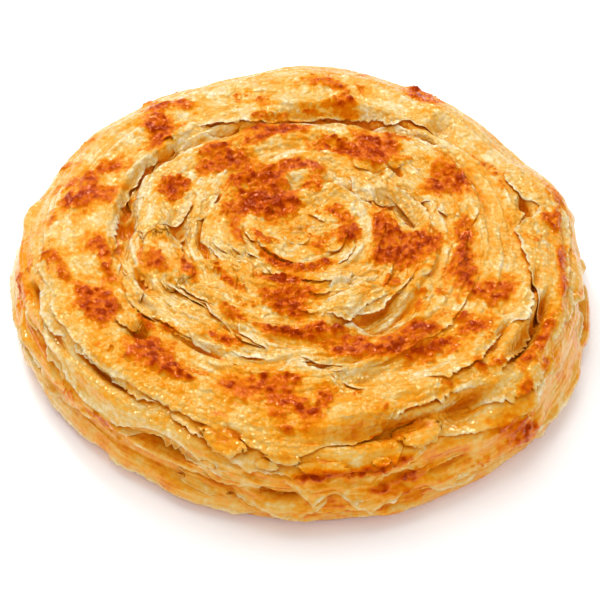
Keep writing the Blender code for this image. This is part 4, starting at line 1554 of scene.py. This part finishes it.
class PARATHA_OT_crust(bpy.types.Operator):
    """Makes the closed crust over the whole pile of layers."""

    bl_idname = "paratha.crust"
    bl_label = "Crust"

    def execute(self, context):
        for ring in CRUST_RINGS:
            crust_ring(*ring)
        return {"FINISHED"}


class PARATHA_OT_fry(bpy.types.Operator):
    """Browns and blisters every piece and gives it its material."""

    bl_idname = "paratha.fry"
    bl_label = "Fry"

    def execute(self, context):
        if "side_crust" not in PIECES:
            self.report({"ERROR"}, "The crust is made first")
            return {"CANCELLED"}
        wide, near = whole_blur(PILE.top, WIDE_DIP), whole_blur(PILE.top, NARROW_DIP)
        dough = fried_layered_dough(context.scene.dough_colours)
        for name, data in PIECES.items():
            fry(name, data, wide, near, context.scene.dough_sizes)
            bpy.data.objects[name].data.materials.append(dough)
        return {"FINISHED"}


class PARATHA_OT_stage(bpy.types.Operator):
    """Sets up the floor, the soft light and the camera."""

    bl_idname = "paratha.stage"
    bl_label = "Stage"

    def execute(self, context):
        scene, stage = context.scene, context.scene.paratha_stage
        scene.view_settings.view_transform = "Standard"
        make_floor(stage.floor)
        make_world(scene, stage.daylight)
        make_lights(stage)
        make_camera(stage)
        return {"FINISHED"}


OPERATORS = (
    PARATHA_OT_side_strata,
    PARATHA_OT_top_strata,
    PARATHA_OT_heart_layers,
    PARATHA_OT_inner_layers,
    PARATHA_OT_outer_layers,
    PARATHA_OT_side_layers,
    PARATHA_OT_torn_flakes,
    PARATHA_OT_crust,
    PARATHA_OT_fry,
    PARATHA_OT_stage,
)


class PARATHA_PT_panel(bpy.types.Panel):
    """The steps of making the bread, in order."""

    bl_idname = "PARATHA_PT_panel"
    bl_label = "Paratha"
    bl_space_type = "VIEW_3D"
    bl_region_type = "UI"
    bl_category = "Paratha"

    def draw(self, context):
        for operator in OPERATORS:
            self.layout.operator(operator.bl_idname)


CLASSES = (DoughSizes, DoughColours, StageSettings) + OPERATORS + (PARATHA_PT_panel,)


def register():
    for item in CLASSES:
        bpy.utils.register_class(item)
    bpy.types.Scene.dough_sizes = PointerProperty(type=DoughSizes)
    bpy.types.Scene.dough_colours = PointerProperty(type=DoughColours)
    bpy.types.Scene.paratha_stage = PointerProperty(type=StageSettings)


def unregister():
    del bpy.types.Scene.paratha_stage
    del bpy.types.Scene.dough_colours
    del bpy.types.Scene.dough_sizes
    for item in reversed(CLASSES):
        bpy.utils.unregister_class(item)


def main():
    """Registers the add-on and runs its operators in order."""
    register()
    for operator in OPERATORS:
        group, name = operator.bl_idname.split(".")
        getattr(getattr(bpy.ops, group), name)()


if __name__ == "__main__":
    main()
